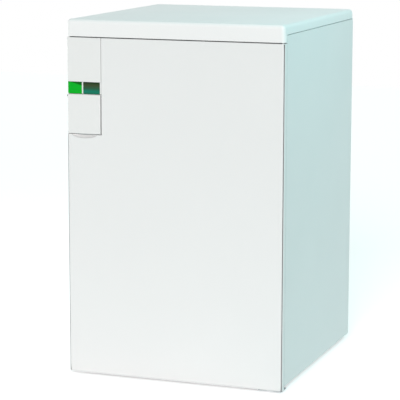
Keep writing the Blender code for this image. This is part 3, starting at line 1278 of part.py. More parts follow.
def build_diverter():
    """The draught diverter: a box open at its bottom for relief, with the round flue spigot at its back."""
    spans = [[-DIVERTER_WIDTH / 2, DIVERTER_WIDTH / 2], [DIVERTER_FRONT, DIVERTER_BACK],
             [DIVERTER_BOTTOM, DIVERTER_TOP]]
    shell, inner = tray(spans, Z, -1, HOOD_SHEET)
    diverter = part("draught_diverter", shell, GALVANISED)
    mouth = box((-MOUTH_WIDTH / 2, MOUTH_WIDTH / 2),
                (DIVERTER_FRONT - OVERRUN, DIVERTER_FRONT + HOOD_SHEET + OVERRUN),
                (MOUTH_BOTTOM, MOUTH_BOTTOM + MOUTH_HEIGHT))
    end = BACK + SPIGOT_REACH
    start = DIVERTER_BACK - HOOD_SHEET / 2
    spigot = rod((0, start, SPIGOT_Z), (0, end, SPIGOT_Z), SPIGOT_RADIUS, SPIGOT_SIDES)
    ends = (end - BEAD_INSET - BEAD_HALF_WIDTH, end - BEAD_INSET + BEAD_HALF_WIDTH)
    bead = rod((0, ends[0], SPIGOT_Z), (0, ends[1], SPIGOT_Z), SPIGOT_RADIUS + SPIGOT_BEAD, SPIGOT_SIDES)
    rims = edges_at(bead, at=[(Y, ends[0])]) + edges_at(bead, at=[(Y, ends[1])])
    round_edges(bead, rims, SPIGOT_BEAD, 2)
    cut(diverter, inner, mouth)
    join(diverter, spigot, bead)
    bore = rod((0, DIVERTER_BACK - HOOD_SHEET - OVERRUN, SPIGOT_Z), (0, end + OVERRUN, SPIGOT_Z),
               SPIGOT_RADIUS - SPIGOT_WALL, SPIGOT_SIDES)
    return cut(diverter, bore)


def build_heat_exchanger():
    for number, name in enumerate(("front_section", "middle_section_1", "middle_section_2", "rear_section")):
        build_section(name, number)
    for number, (x, z) in enumerate(rod_places(), 1):
        build_tie_rod(number, x, z)
    build_jacket()
    build_chamber()
    build_stand()
    build_smoke_hood()
    build_diverter()


def burner_places():
    return [BURNER_PITCH * (number - (BURNER_COUNT - 1) / 2) for number in range(BURNER_COUNT)]


def build_burner_bar(number, x):
    """A burner bar: a round-topped bar with flame slots, and a venturi tube that ends outside the plate."""
    half = BURNER_WIDTH / 2
    bottom = BURNER_Z - BURNER_HEIGHT / 2
    top = BURNER_Z + BURNER_HEIGHT / 2
    front = CHAMBER_FRONT + CHAMBER_SHEET + BURNER_END_GAP
    back = CHAMBER_BACK - CHAMBER_SHEET - BURNER_END_GAP
    outline = [(x - half, bottom), (x + half, bottom)] + arc((x, top - half), half, 0, 180, 2 * COVER_STEPS)
    bar = part(f"burner_bar_{number}", extruded(Y, (front, back), outline), BURNER_STEEL)
    mouth = front - (PLATE_FRONT - VENTURI_REACH)
    collar_end = front - CHAMBER_FRONT - CHAMBER_SHEET
    flare = MOUTH_RADIUS - VENTURI_RADIUS
    wall = VENTURI_RADIUS - VENTURI_BORE
    venturi = [(0, mouth), (MOUTH_RADIUS, mouth), (MOUTH_RADIUS, collar_end),
               (VENTURI_RADIUS, collar_end - flare),
               (VENTURI_RADIUS, -wall), (0, -wall)]
    join(bar, lathed(venturi, (x, front, BURNER_Z), "front"))
    bore = [(0, mouth + OVERRUN), (MOUTH_RADIUS - wall, mouth + OVERRUN), (MOUTH_RADIUS - wall, mouth),
            (VENTURI_BORE, mouth - VENTURI_REACH / 2), (VENTURI_BORE, mouth - VENTURI_BORE_DEPTH),
            (0, mouth - VENTURI_BORE_DEPTH)]
    cut(bar, lathed(bore, (x, front, BURNER_Z), "front"))
    pitch = (back - front) / (PORT_COUNT + 1)
    middles = [front + pitch * (place + 1) for place in range(PORT_COUNT)]
    slots = [box((x - half - OVERRUN, x + half + OVERRUN), (middle - PORT_SLOT / 2, middle + PORT_SLOT / 2),
                 (top - SLOT_DEPTH, top + OVERRUN)) for middle in middles]
    return cut(bar, together(*slots))


def build_burner_plate():
    half = PLATE_WIDTH / 2
    sheet = box((-half, half), (PLATE_FRONT, PLATE_BACK), (PLATE_BOTTOM, PLATE_TOP))
    plate = part("burner_front_plate", sheet, BURNER_STEEL)
    holes = [(x, BURNER_Z, MOUTH_RADIUS) for x in burner_places()]
    holes += [(0, SIGHT_Z, SIGHT_RADIUS), (PILOT_X, PILOT_Z, PILOT_RADIUS),
              (COUPLE_X, PILOT_Z, COUPLE_RADIUS)]
    cutters = [rod((x, PLATE_FRONT - OVERRUN, z), (x, PLATE_BACK + OVERRUN, z), radius + FIT, SMALL_SIDES)
               for x, z, radius in holes]
    cut(plate, together(*cutters))
    rim = SIGHT_RADIUS + SIGHT_LIP
    profile = [(0, SIGHT_PROUD), (rim, SIGHT_PROUD), (rim, FIT), (SIGHT_RADIUS, FIT),
               (SIGHT_RADIUS, -PLATE_SHEET), (0, -PLATE_SHEET)]
    turned("sight_glass", profile, SIGHT_GLASS, (0, PLATE_FRONT, SIGHT_Z), "front", SMALL_SIDES)


def build_pilot():
    """The pilot burner with its supply tube, and the thermocouple with its lead, both from the gas valve."""
    body = rod((PILOT_X, PLATE_FRONT - PILOT_FLANGE, PILOT_Z), (PILOT_X, PLATE_BACK + PILOT_INSIDE, PILOT_Z),
               PILOT_RADIUS, SMALL_SIDES)
    pilot = part("pilot_burner", body, BRASS)
    seat = PLATE_FRONT - FIT
    flange = rod((PILOT_X, seat - PLATE_SHEET, PILOT_Z), (PILOT_X, seat, PILOT_Z), PILOT_FLANGE, HEX_SIDES)
    head = box((PILOT_X - PILOT_HEAD / 2, PILOT_X + PILOT_HEAD / 2),
               (PLATE_BACK + PILOT_INSIDE - PILOT_HEAD, PLATE_BACK + PILOT_INSIDE + FIT),
               (PILOT_Z - PILOT_HEAD_HEIGHT / 2, PILOT_Z + PILOT_HEAD_HEIGHT / 2))
    in_nut = VALVE_BACK + LEAD_NUT_LENGTH / 2
    out = PLATE_FRONT - PILOT_TUBE_OUT
    high = PILOT_Z + PILOT_TUBE_RISE
    corners = [(PILOT_X, seat - PLATE_SHEET / 2, PILOT_Z), (PILOT_X, out, PILOT_Z), (PILOT_X, out, high),
               (PILOT_TUBE_X, out, high),
               (PILOT_TUBE_X, out, PILOT_INLET_Z), (PILOT_TUBE_X, in_nut, PILOT_INLET_Z)]
    join(pilot, together(flange, head, lead_nut(PILOT_TUBE_X, PILOT_INLET_Z)))
    join(pilot, tube(bent_path(corners, LEAD_BEND), PILOT_TUBE_RADIUS))
    out = PLATE_FRONT - COUPLE_OUT
    corners = [(COUPLE_X, PLATE_BACK + COUPLE_INSIDE, PILOT_Z), (COUPLE_X, out, PILOT_Z),
               (COUPLE_END_X, out, PILOT_Z),
               (COUPLE_END_X, out, COUPLE_INLET_Z), (COUPLE_END_X, in_nut, COUPLE_INLET_Z)]
    couple = part("thermocouple", tube(bent_path(corners, LEAD_BEND), COUPLE_RADIUS), COPPER)
    collar = rod((COUPLE_X, seat - PLATE_SHEET, PILOT_Z), (COUPLE_X, seat, PILOT_Z), LEAD_NUT_RADIUS,
                 HEX_SIDES)
    join(couple, collar, lead_nut(COUPLE_END_X, COUPLE_INLET_Z))


def lead_nut(x, z):
    """The nut of a thin tube or lead on the back of the gas valve."""
    return rod((x, VALVE_BACK + FIT, z), (x, VALVE_BACK + LEAD_NUT_LENGTH, z), LEAD_NUT_RADIUS, HEX_SIDES)


def build_manifold():
    """The gas manifold with an injector for each venturi, and two legs to the burner plate."""
    places = burner_places()
    start = (places[0] - MANIFOLD_END, MANIFOLD_Y, BURNER_Z)
    end = (VALVE_LEFT - BOSS_LENGTH - FIT, MANIFOLD_Y, BURNER_Z)
    manifold = part("gas_manifold", rod(start, end, MANIFOLD_RADIUS, SMALL_SIDES), STEEL)
    shoulder = MANIFOLD_Y + MANIFOLD_RADIUS + INJECTOR_BODY
    tip = MANIFOLD_Y + MANIFOLD_RADIUS + INJECTOR_LENGTH
    bodies = [rod((x, MANIFOLD_Y, BURNER_Z), (x, shoulder, BURNER_Z), INJECTOR_RADIUS, HEX_SIDES)
              for x in places]
    noses = [rod((x, MANIFOLD_Y + MANIFOLD_RADIUS, BURNER_Z), (x, tip, BURNER_Z),
                 INJECTOR_RADIUS * (1 - INJECTOR_TIP_SHARE), SMALL_SIDES,
                 INJECTOR_RADIUS * INJECTOR_TIP_SHARE)
             for x in places]
    seat = PLATE_FRONT - FIT
    legs = []
    feet = []
    for x in (-BURNER_PITCH, BURNER_PITCH):
        legs.append(box((x - LEG_WIDTH / 2, x + LEG_WIDTH / 2), (MANIFOLD_Y, seat - LEG_THICKNESS / 2),
                        (BURNER_Z - LEG_THICKNESS / 2, BURNER_Z + LEG_THICKNESS / 2)))
        feet.append(box((x - LEG_WIDTH / 2 - FIT, x + LEG_WIDTH / 2 + FIT), (seat - LEG_THICKNESS, seat),
                        (BURNER_Z - LEG_FOOT, BURNER_Z + LEG_FOOT)))
    return join(manifold, together(*bodies), together(*noses), together(*legs), together(*feet))


def build_gas_valve():
    middle = VALVE_LEFT + VALVE_WIDTH / 2
    front = MANIFOLD_Y - VALVE_DEPTH / 2
    top = BURNER_Z + VALVE_HEIGHT / 2
    block = box((VALVE_LEFT, VALVE_LEFT + VALVE_WIDTH), (front, VALVE_BACK),
                (BURNER_Z - VALVE_HEIGHT / 2, top))
    round_edges(block, list(block.edges), VALVE_RADIUS, 2)
    valve = part("gas_valve", block, VALVE_ALLOY)
    boss = rod((VALVE_LEFT - BOSS_LENGTH, MANIFOLD_Y, BURNER_Z),
               (VALVE_LEFT + VALVE_WIDTH + BOSS_LENGTH, MANIFOLD_Y, BURNER_Z),
               BOSS_RADIUS)
    turret = rod((middle, MANIFOLD_Y, BURNER_Z), (middle, MANIFOLD_Y, top + TURRET_HEIGHT), TURRET_RADIUS)
    round_edges(turret, edges_at(turret, at=[(Z, top + TURRET_HEIGHT)]), VALVE_RADIUS, 2)
    join(valve, boss, turret)
    cut(valve, rod((middle, front - OVERRUN, BURNER_Z), (middle, front + KNOB_SHAFT_LENGTH + FIT, BURNER_Z),
                   KNOB_SHAFT_RADIUS + BUTTON_CLEARANCE, SMALL_SIDES))
    fluted_knob("gas_valve_knob", (middle, front, BURNER_Z), VALVE_KNOB_RADIUS,
                VALVE_KNOB_RADIUS - FLUTE_RADIUS, VALVE_KNOB_HEIGHT, VALVE_KNOB_FLUTES)


def build_gas_pipe():
    start = VALVE_LEFT + VALVE_WIDTH + BOSS_LENGTH + FIT
    end = BACK + GAS_PIPE_REACH
    corners = [(start, MANIFOLD_Y, BURNER_Z), (GAS_PIPE_X, MANIFOLD_Y, BURNER_Z), (GAS_PIPE_X, end, BURNER_Z)]
    pipe = part("gas_pipe", tube(bent_path(corners, GAS_BEND), GAS_PIPE_RADIUS, 2), STEEL)
    union = rod(corners[0], (start + GAS_UNION_LENGTH, MANIFOLD_Y, BURNER_Z), GAS_UNION_RADIUS, HEX_SIDES)
    bore = rod((GAS_PIPE_X, end - GAS_PIPE_REACH, BURNER_Z), (GAS_PIPE_X, end + OVERRUN, BURNER_Z),
               GAS_PIPE_BORE, SMALL_SIDES)
    return cut(join(pipe, union), bore)


def build_gas_side():
    build_burner_plate()
    for number, x in enumerate(burner_places(), 1):
        build_burner_bar(number, x)
    build_pilot()
    build_manifold()
    build_gas_valve()
    build_gas_pipe()


def build_water_pipe(name, z):
    """A pipe with its flange on the rear section, which leaves through the rear panel."""
    start = BLOCK_END + FIT
    length = BACK + PIPE_REACH - start
    chamfer = (PIPE_RADIUS - PIPE_BORE) / 2
    profile = [
        (PIPE_BORE, length), (PIPE_RADIUS - chamfer, length), (PIPE_RADIUS, length - chamfer),
        (PIPE_RADIUS, FLANGE_THICKNESS), (FLANGE_RADIUS, FLANGE_THICKNESS), (FLANGE_RADIUS, 0),
        (PIPE_BORE, 0),
    ]
    turned(name, profile, STEEL, (-PIPE_X, start, z), "back", hollow=True)


def build_drain_cock():
    """The drain cock on the front section, with its spout, and the lever tap on its end."""
    start = BLOCK_Y - FIT
    end = start - DRAIN_LENGTH
    cock = part("drain_cock", rod((-DRAIN_X, start, DRAIN_Z), (-DRAIN_X, end, DRAIN_Z), DRAIN_RADIUS), BRASS)
    outside = BLOCK_Y - JACKET_GAP - JACKET_THICKNESS - FIT
    flange = rod((-DRAIN_X, outside, DRAIN_Z), (-DRAIN_X, outside - LEG_THICKNESS, DRAIN_Z), DRAIN_FLANGE,
                 HEX_SIDES)
    at = start - DRAIN_SPOUT_AT
    low = DRAIN_Z - DRAIN_SPOUT_DROP
    spout = rod((-DRAIN_X, at, DRAIN_Z), (-DRAIN_X, at, low), DRAIN_SPOUT_RADIUS, SMALL_SIDES)
    join(cock, flange, spout)
    cut(cock, rod((-DRAIN_X, at, low - OVERRUN), (-DRAIN_X, at, DRAIN_Z), DRAIN_BORE, SMALL_SIDES))
    pivot = Vector((-DRAIN_X, end - FIT, DRAIN_Z))
    hub = rod(pivot, pivot - Vector((0, TAP_THICKNESS + FIT, 0)), TAP_HUB_RADIUS)
    tap = part("drain_cock_tap", hub, RED_PLASTIC, pivot)
    lever = box((0, TAP_LENGTH), (-TAP_THICKNESS, -FIT), (-TAP_WIDTH / 2, TAP_WIDTH / 2))
    round_edges(lever, edges_at(lever, along=Y, at=[(X, TAP_LENGTH)]), TAP_WIDTH / 3, COVER_STEPS)
    lever.transform(Matrix.Translation(pivot))
    return join(tap, lever)


def build_cable_gland():
    """The gland holds the cables in the rear panel, with a hexagon on each side of the sheet."""
    nose = BACK + GLAND_NOSE
    tail = BACK - SHEET - GLAND_TAIL
    gland = part("cable_gland", rod((-GLAND_X, tail, GLAND_Z), (-GLAND_X, nose, GLAND_Z), GLAND_RADIUS,
                                    SMALL_SIDES), GREY_PLASTIC)
    outer = rod((-GLAND_X, BACK + FIT, GLAND_Z), (-GLAND_X, BACK + FIT + GLAND_HEX, GLAND_Z),
                GLAND_HEX_RADIUS, HEX_SIDES)
    seat = BACK - SHEET - FIT
    inner = rod((-GLAND_X, seat, GLAND_Z), (-GLAND_X, seat - GLAND_HEX, GLAND_Z), GLAND_HEX_RADIUS, HEX_SIDES)
    bore = rod((-GLAND_X, tail - OVERRUN, GLAND_Z), (-GLAND_X, nose + OVERRUN, GLAND_Z), GLAND_BORE,
               SMALL_SIDES)
    return cut(join(gland, together(outer, inner)), bore)


def build_connections():
    build_water_pipe("flow_pipe", FLOW_Z)
    build_water_pipe("return_pipe", RETURN_Z)
    build_drain_cock()
    build_cable_gland()


build_case()
build_control_column()
build_heat_exchanger()
build_gas_side()
build_connections()
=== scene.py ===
"""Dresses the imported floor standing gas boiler: surfaces, screws, marks, straps, light and camera."""
import json
import math

import bmesh
import bpy
from mathutils import Matrix, Vector
from mathutils.bvhtree import BVHTree


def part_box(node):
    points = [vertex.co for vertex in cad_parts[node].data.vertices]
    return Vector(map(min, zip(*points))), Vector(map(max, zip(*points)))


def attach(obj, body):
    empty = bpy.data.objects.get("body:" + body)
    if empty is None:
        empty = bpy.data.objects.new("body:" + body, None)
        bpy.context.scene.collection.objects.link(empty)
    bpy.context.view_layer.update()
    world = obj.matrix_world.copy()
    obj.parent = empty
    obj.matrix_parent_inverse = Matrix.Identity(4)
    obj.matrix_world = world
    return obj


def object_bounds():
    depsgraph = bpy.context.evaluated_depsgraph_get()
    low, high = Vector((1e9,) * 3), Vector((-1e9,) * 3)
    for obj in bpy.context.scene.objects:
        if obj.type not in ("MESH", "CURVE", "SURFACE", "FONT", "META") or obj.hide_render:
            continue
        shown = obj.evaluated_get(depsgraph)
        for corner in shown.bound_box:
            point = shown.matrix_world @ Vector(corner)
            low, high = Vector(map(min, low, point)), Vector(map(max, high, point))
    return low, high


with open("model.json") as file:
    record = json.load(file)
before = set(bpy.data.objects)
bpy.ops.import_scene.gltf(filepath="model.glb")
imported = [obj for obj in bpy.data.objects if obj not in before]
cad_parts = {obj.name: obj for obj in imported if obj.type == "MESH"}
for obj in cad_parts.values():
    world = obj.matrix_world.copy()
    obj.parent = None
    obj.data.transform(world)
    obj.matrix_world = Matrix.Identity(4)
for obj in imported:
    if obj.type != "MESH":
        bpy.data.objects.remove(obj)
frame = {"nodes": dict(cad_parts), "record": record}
CAD_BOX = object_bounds()
NODES = frame["nodes"]

# The camera, fitted to the photo's edges
YAW = math.radians(20.136)
PITCH = math.radians(9.854)
ROLL = math.radians(0.087)
LENS_MM = 164.5
SENSOR_MM = 36.0
CAMERA_DISTANCE = 4.2114
TARGET_X = 0.0657
TARGET_Z = 0.4422
VIEW_REACH = 50.0

# Lights: the direction towards the key lamp, the places of the soft lamps, their strengths and tints
KEY_DIRECTION = (0.20, -0.89, 0.42)
KEY_STRENGTH = 2.02
KEY_COLOUR = (1.0, 0.85, 0.855)
SIDE_PLACE = (1.2, -0.2, 1.6)
SIDE_SIZE = 0.4
SIDE_POWER = 4.9
SIDE_COLOUR = (0.24, 0.95, 1.0)
LEFT_PLACE = (-1.9, 0.15, 0.6)
LEFT_TARGET = (0.0, 0.15, 0.45)
LEFT_SIZE = 0.8
LEFT_POWER = 10.0
LEFT_COLOUR = (1.0, 0.95, 0.94)
SUN_ANGLE = math.radians(25)
WORLD_STRENGTH = 0.42
WORLD_COLOUR = (0.70, 1.0, 0.975)
FLOOR_HALF = 6.0
FLOOR_GLOW = 0.45
FLOOR_COLOUR = (0.86, 0.87, 0.87)
FLOOR_ROUGHNESS = 0.8

# Edges of the solids
CREASE_ANGLE = math.radians(32)
TUBE_CREASE_ANGLE = math.radians(50)
TUBE_NODES = ("pilot_burner", "thermocouple")
WELD = 0.00002

# Places in the Mix node's lists of inputs and outputs
MIX_SHARE = 0
MIX_FIRST = 6
MIX_SECOND = 7
MIX_RESULT = 2

# Screws: pan heads with a cross recess
SCREW_RADIUS = 0.0036
SCREW_HEIGHT = 0.0015
SCREW_RIM_SHARE = 0.35
SCREW_SIDES = 20
SCREW_STEPS = 4
REAR_SCREW_X = 0.2575
REAR_SCREW_LEVELS = (0.06, 0.30, 0.55, 0.80)
TOP_SCREW_X = 0.18
TOP_SCREW_Z = 0.8385
HOUSING_SCREW_XS = (-0.258, -0.188)
HOUSING_SCREW_LEVELS = (0.590, 0.779)
PLATE_SCREW_X = 0.138
PLATE_SCREW_LEVELS = (0.157, 0.261)
SIDE_SCREW_X = 0.2585
SIDE_SCREW_LEVELS = (0.06, 0.34, 0.54)
RAIL_SCREW_X = 0.24
RAIL_SCREW_Z = 0.80
VALVE_SCREW_XS = (0.146, 0.192)
VALVE_SCREW_LEVELS = (0.169, 0.223)
RECESS_LENGTH = 0.0042
RECESS_WIDTH = 0.0010
RECESS_DEPTH = 0.0009

# Printed marks, and the pointers on the knobs
MARK_DEPTH = 0.0001
MARK_WIDTH = 0.0005
NUMBER_HEIGHT = 0.0030
TICK_START = 0.0176
TICK_LENGTH = 0.0018
NUMBER_RADIUS = 0.0226
POINTER_WIDTH = 0.0014
POINTER_START = 0.0035
POINTER_LENGTH = 0.0075
POINTER_DEPTH = 0.0004
THERMOSTAT_SWEEP = math.radians(270)
THERMOSTAT_STEPS = 7
SWITCH_MARK_RISE = 0.0055
SWITCH_MARK_HEIGHT = 0.0034
DIAL_SWEEP = math.radians(250)
DIAL_STEPS = 12
DIAL_TICK_START = 0.0082
DIAL_TICK_LENGTH = 0.0015
DIAL_NUMBER_RADIUS = 0.0062
DIAL_NUMBER_HEIGHT = 0.0021
DIAL_RED_FROM = 10
GAS_TICK_START = 0.0165

# Steel straps round the jacket, and the washers that hold the door's pad
STRAP_LEVELS = (0.42, 0.58)
STRAP_WIDTH = 0.016
STRAP_THICKNESS = 0.0006
STRAP_GAP = 0.0001
JACKET_RADIUS = 0.011
STRAP_STEPS = 5
WASHER_RADIUS = 0.012
WASHER_THICKNESS = 0.0008
STUD_RADIUS = 0.0022
STUD_HEIGHT = 0.0024
WASHER_SIDES = 28
WASHER_PLACES = [(x, z) for x in (-0.10, 0.06, 0.20) for z in (0.12, 0.40, 0.70)]

# Nodes that look other than their slot's plain finish
NODE_FINISHES = {"top_cover": "cover_white"}

# How far off the part a line starts that looks for a face
FAR_OFF = 0.05

# Shade in crevices: how far it looks, its darkest share, and the openness over which it fades out
CREVICE_REACH = 0.012
CREVICE_SHARE = 0.78
CREVICE_START = 0.5
CREVICE_END = 0.95

# How far down the painted shadow wedge along the top of the green lens reaches, and how far its edge blurs
# below and above
LENS_SHADOW_WEDGE = 0.008
SHADOW_BLUR_BELOW = 0.002
SHADOW_BLUR_ABOVE = 0.001

# Roughness of the clear coat, where a surface has one, and how much finer gloss varies than colour
COAT_ROUGHNESS = 0.12
GLOSS_FINENESS = 3


def low(node):
    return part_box(node)[0]


def high(node):
    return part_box(node)[1]


def make_material(name):
    made = bpy.data.materials.new(name)
    made.use_nodes = True
    return made


def object_place(tree):
    return tree.nodes.new("ShaderNodeTexCoord").outputs["Object"]


def noise(tree, scale, detail=3.0, stretch=(1, 1, 1)):
    """Noise over the object's own place, in features per metre, squeezed along an axis if asked."""
    mapping = tree.nodes.new("ShaderNodeMapping")
    mapping.inputs["Scale"].default_value = stretch
    tree.links.new(object_place(tree), mapping.inputs["Vector"])
    texture = tree.nodes.new("ShaderNodeTexNoise")
    texture.inputs["Scale"].default_value = scale
    texture.inputs["Detail"].default_value = detail
    tree.links.new(mapping.outputs["Vector"], texture.inputs["Vector"])
    return texture.outputs["Fac"]


def spread(tree, value, low_end=0.0, high_end=1.0, start=0.35, end=0.65):
    """The part of a value between a start and an end, mapped to run from a low end to a high end."""
    node = tree.nodes.new("ShaderNodeMapRange")
    node.inputs["From Min"].default_value = start
    node.inputs["From Max"].default_value = end
    node.inputs["To Min"].default_value = low_end
    node.inputs["To Max"].default_value = high_end
    tree.links.new(value, node.inputs["Value"])
    return node.outputs["Result"]


def mix_colour(tree, share, first, second):
    node = tree.nodes.new("ShaderNodeMix")
    node.data_type = "RGBA"
    tree.links.new(share, node.inputs[MIX_SHARE])
    for socket, colour in ((node.inputs[MIX_FIRST], first), (node.inputs[MIX_SECOND], second)):
        if isinstance(colour, bpy.types.NodeSocket):
            tree.links.new(colour, socket)
        else:
            socket.default_value = (*colour, 1.0)
    return node.outputs[MIX_RESULT]


def bump(tree, height, distance, strength=1.0, normal=None):
    node = tree.nodes.new("ShaderNodeBump")
    node.inputs["Strength"].default_value = strength
    node.inputs["Distance"].default_value = distance
    tree.links.new(height, node.inputs["Height"])
    if normal is not None:
        tree.links.new(normal, node.inputs["Normal"])
    return node.outputs["Normal"]


def shade(colour, share):
    return tuple(channel * share for channel in colour)


def colour_ramp(tree, share, stops):
    """A colour that runs through stops, each a share and a colour, the first at 0 and the last at 1."""
    ramp = tree.nodes.new("ShaderNodeValToRGB")
    elements = ramp.color_ramp.elements
    for place, colour in stops[1:-1]:
        elements.new(place).color = (*colour, 1.0)
    for end, (_, colour) in ((elements[0], stops[0]), (elements[-1], stops[-1])):
        end.color = (*colour, 1.0)
    tree.links.new(share, ramp.inputs["Fac"])
    return ramp.outputs["Color"]


def surface(name, colour, roughness, metallic, dark_share, blotch, grain, grain_depth, swing,
            coat=0.0, stretch=(1, 1, 1)):
    """A material with blotchy colour, uneven gloss and a fine grain. Scales are per metre."""
    made = make_material(name)
    tree = made.node_tree
    shader = tree.nodes["Principled BSDF"]
    share = spread(tree, noise(tree, scale=blotch))
    blotchy = mix_colour(tree, share, shade(colour, dark_share), colour)
    tree.links.new(blotchy, shader.inputs["Base Color"])
    patches = noise(tree, scale=blotch * GLOSS_FINENESS)
    gloss = spread(tree, patches, roughness - swing, roughness + swing)
    tree.links.new(gloss, shader.inputs["Roughness"])
    shader.inputs["Metallic"].default_value = metallic
    shader.inputs["Coat Weight"].default_value = coat
    shader.inputs["Coat Roughness"].default_value = COAT_ROUGHNESS
    grainy = noise(tree, scale=grain, detail=2.0, stretch=stretch)
    tree.links.new(bump(tree, grainy, distance=grain_depth), shader.inputs["Normal"])
    return made


def crevice_shade(made):
    """Darkens a material's colour where faces stand close together, as in a seam or a scoop."""
    tree = made.node_tree
    shader = tree.nodes["Principled BSDF"]
    colour = shader.inputs["Base Color"].links[0].from_socket
    openness = tree.nodes.new("ShaderNodeAmbientOcclusion")
    openness.inputs["Distance"].default_value = CREVICE_REACH
    light = spread(tree, openness.outputs["AO"], low_end=CREVICE_SHARE, start=CREVICE_START, end=CREVICE_END)
    grey = tree.nodes.new("ShaderNodeCombineColor")
    for channel in ("Red", "Green", "Blue"):
        tree.links.new(light, grey.inputs[channel])
    product = tree.nodes.new("ShaderNodeMix")
    product.data_type = "RGBA"
    product.blend_type = "MULTIPLY"
    product.inputs[MIX_SHARE].default_value = 1.0
    tree.links.new(colour, product.inputs[MIX_FIRST])
    tree.links.new(grey.outputs["Color"], product.inputs[MIX_SECOND])
    tree.links.new(product.outputs[MIX_RESULT], shader.inputs["Base Color"])
    return made


def paint(name, colour, roughness, blotch, grain):
    """A smooth white paint or moulding, with hardly any blotches."""
    return surface(name, colour, roughness, metallic=0.0, dark_share=0.99, blotch=blotch, grain=grain,
                   grain_depth=0.000006, swing=0.03)


def white_enamel():
    return crevice_shade(paint("white_enamel", (0.81, 0.815, 0.81), roughness=0.38, blotch=3.0, grain=350.0))


def cover_enamel():
    return paint("cover_enamel", (0.87, 0.875, 0.87), roughness=0.42, blotch=3.0, grain=350.0)


def white_moulding():
    return paint("white_moulding", (0.81, 0.815, 0.805), roughness=0.40, blotch=8.0, grain=900.0)


def galvanised_sheet():
    """Zinc-coated sheet: crystal patches in two greys, with their own gloss."""
    made = make_material("galvanised_sheet")
    tree = made.node_tree
    shader = tree.nodes["Principled BSDF"]
    cells = tree.nodes.new("ShaderNodeTexVoronoi")
    cells.inputs["Scale"].default_value = 110.0
    tree.links.new(object_place(tree), cells.inputs["Vector"])
    tone = tree.nodes.new("ShaderNodeSeparateColor")
    tree.links.new(cells.outputs["Color"], tone.inputs["Color"])
    share = tone.outputs["Red"]
    crystals = mix_colour(tree, share, (0.44, 0.46, 0.47), (0.62, 0.64, 0.65))
    tree.links.new(crystals, shader.inputs["Base Color"])
    gloss = spread(tree, share, 0.32, 0.50, start=0.0, end=1.0)
    tree.links.new(gloss, shader.inputs["Roughness"])
    shader.inputs["Metallic"].default_value = 0.85
    grainy = noise(tree, scale=500.0)
    tree.links.new(bump(tree, grainy, distance=0.00003), shader.inputs["Normal"])
    return made


def bright_steel():
    return surface("bright_steel", (0.52, 0.52, 0.52), roughness=0.28, metallic=1.0, dark_share=0.85,
                   blotch=30.0, grain=900.0, grain_depth=0.00003, swing=0.06, stretch=(1, 1, 8))


def cast_iron():
    return surface("cast_iron", (0.075, 0.072, 0.070), roughness=0.68, metallic=0.25, dark_share=0.55,
                   blotch=14.0, grain=420.0, grain_depth=0.00035, swing=0.10)


def cast_alloy():
    return surface("cast_alloy", (0.62, 0.63, 0.64), roughness=0.42, metallic=0.85, dark_share=0.88,
                   blotch=40.0, grain=1400.0, grain_depth=0.00006, swing=0.05)


def machined_brass():
    return surface("machined_brass", (0.66, 0.47, 0.19), roughness=0.28, metallic=1.0, dark_share=0.80,
                   blotch=60.0, grain=1200.0, grain_depth=0.00002, swing=0.06)


def drawn_copper():
    return surface("drawn_copper", (0.66, 0.30, 0.17), roughness=0.30, metallic=1.0, dark_share=0.70,
                   blotch=50.0, grain=900.0, grain_depth=0.00002, swing=0.06)


def black_moulding():
    return surface("black_moulding", (0.022, 0.022, 0.024), roughness=0.42, metallic=0.0, dark_share=0.80,
                   blotch=50.0, grain=2200.0, grain_depth=0.00005, swing=0.05)


def grey_moulding():
    return surface("grey_moulding", (0.20, 0.21, 0.22), roughness=0.48, metallic=0.0, dark_share=0.90,
                   blotch=30.0, grain=2000.0, grain_depth=0.00005, swing=0.05)


def red_moulding():
    return surface("red_moulding", (0.52, 0.032, 0.022), roughness=0.36, metallic=0.0, dark_share=0.88,
                   blotch=50.0, grain=1800.0, grain_depth=0.00003, swing=0.04, coat=0.2)


def dial_face():
    return surface("dial_face", (0.80, 0.80, 0.78), roughness=0.52, metallic=0.0, dark_share=0.97,
                   blotch=60.0, grain=2500.0, grain_depth=0.00001, swing=0.03)


def heated_steel():
    """Stainless steel with faint straw and blue heat colours in bands near the flames."""
    made = make_material("heated_steel")
    tree = made.node_tree
    shader = tree.nodes["Principled BSDF"]
    patches = noise(tree, scale=9.0, detail=2.0, stretch=(1, 1, 3))
    bands = spread(tree, patches, start=0.30, end=0.70)
    plain, straw, brown, blue = (0.36, 0.36, 0.36), (0.36, 0.34, 0.31), (0.33, 0.30, 0.28), (0.28, 0.29, 0.32)
    heat = colour_ramp(tree, bands, [(0.0, plain), (0.50, straw), (0.75, brown), (1.0, blue)])
    tree.links.new(heat, shader.inputs["Base Color"])
    gloss = spread(tree, noise(tree, scale=60.0), 0.34, 0.52)
    tree.links.new(gloss, shader.inputs["Roughness"])
    shader.inputs["Metallic"].default_value = 0.9
    brushed = noise(tree, scale=700.0, detail=2.0, stretch=(1, 1, 0.1))
    tree.links.new(bump(tree, brushed, distance=0.00004), shader.inputs["Normal"])
    return made


def crinkled_foil():
    """Aluminium foil on mineral wool: soft dents with sharp creases between them."""
    made = make_material("crinkled_foil")
    tree = made.node_tree
    shader = tree.nodes["Principled BSDF"]
    shader.inputs["Base Color"].default_value = (0.64, 0.65, 0.66, 1.0)
    shader.inputs["Metallic"].default_value = 0.95
    gloss = spread(tree, noise(tree, scale=40.0), 0.20, 0.36)
    tree.links.new(gloss, shader.inputs["Roughness"])
    cells = tree.nodes.new("ShaderNodeTexVoronoi")
    cells.feature = "DISTANCE_TO_EDGE"
    cells.inputs["Scale"].default_value = 55.0
    tree.links.new(object_place(tree), cells.inputs["Vector"])
    creases = spread(tree, cells.outputs["Distance"], start=0.0, end=0.12)
    creased = bump(tree, creases, distance=0.0004)
    dents = noise(tree, scale=90.0)
    tree.links.new(bump(tree, dents, distance=0.0008, normal=creased), shader.inputs["Normal"])
    return made


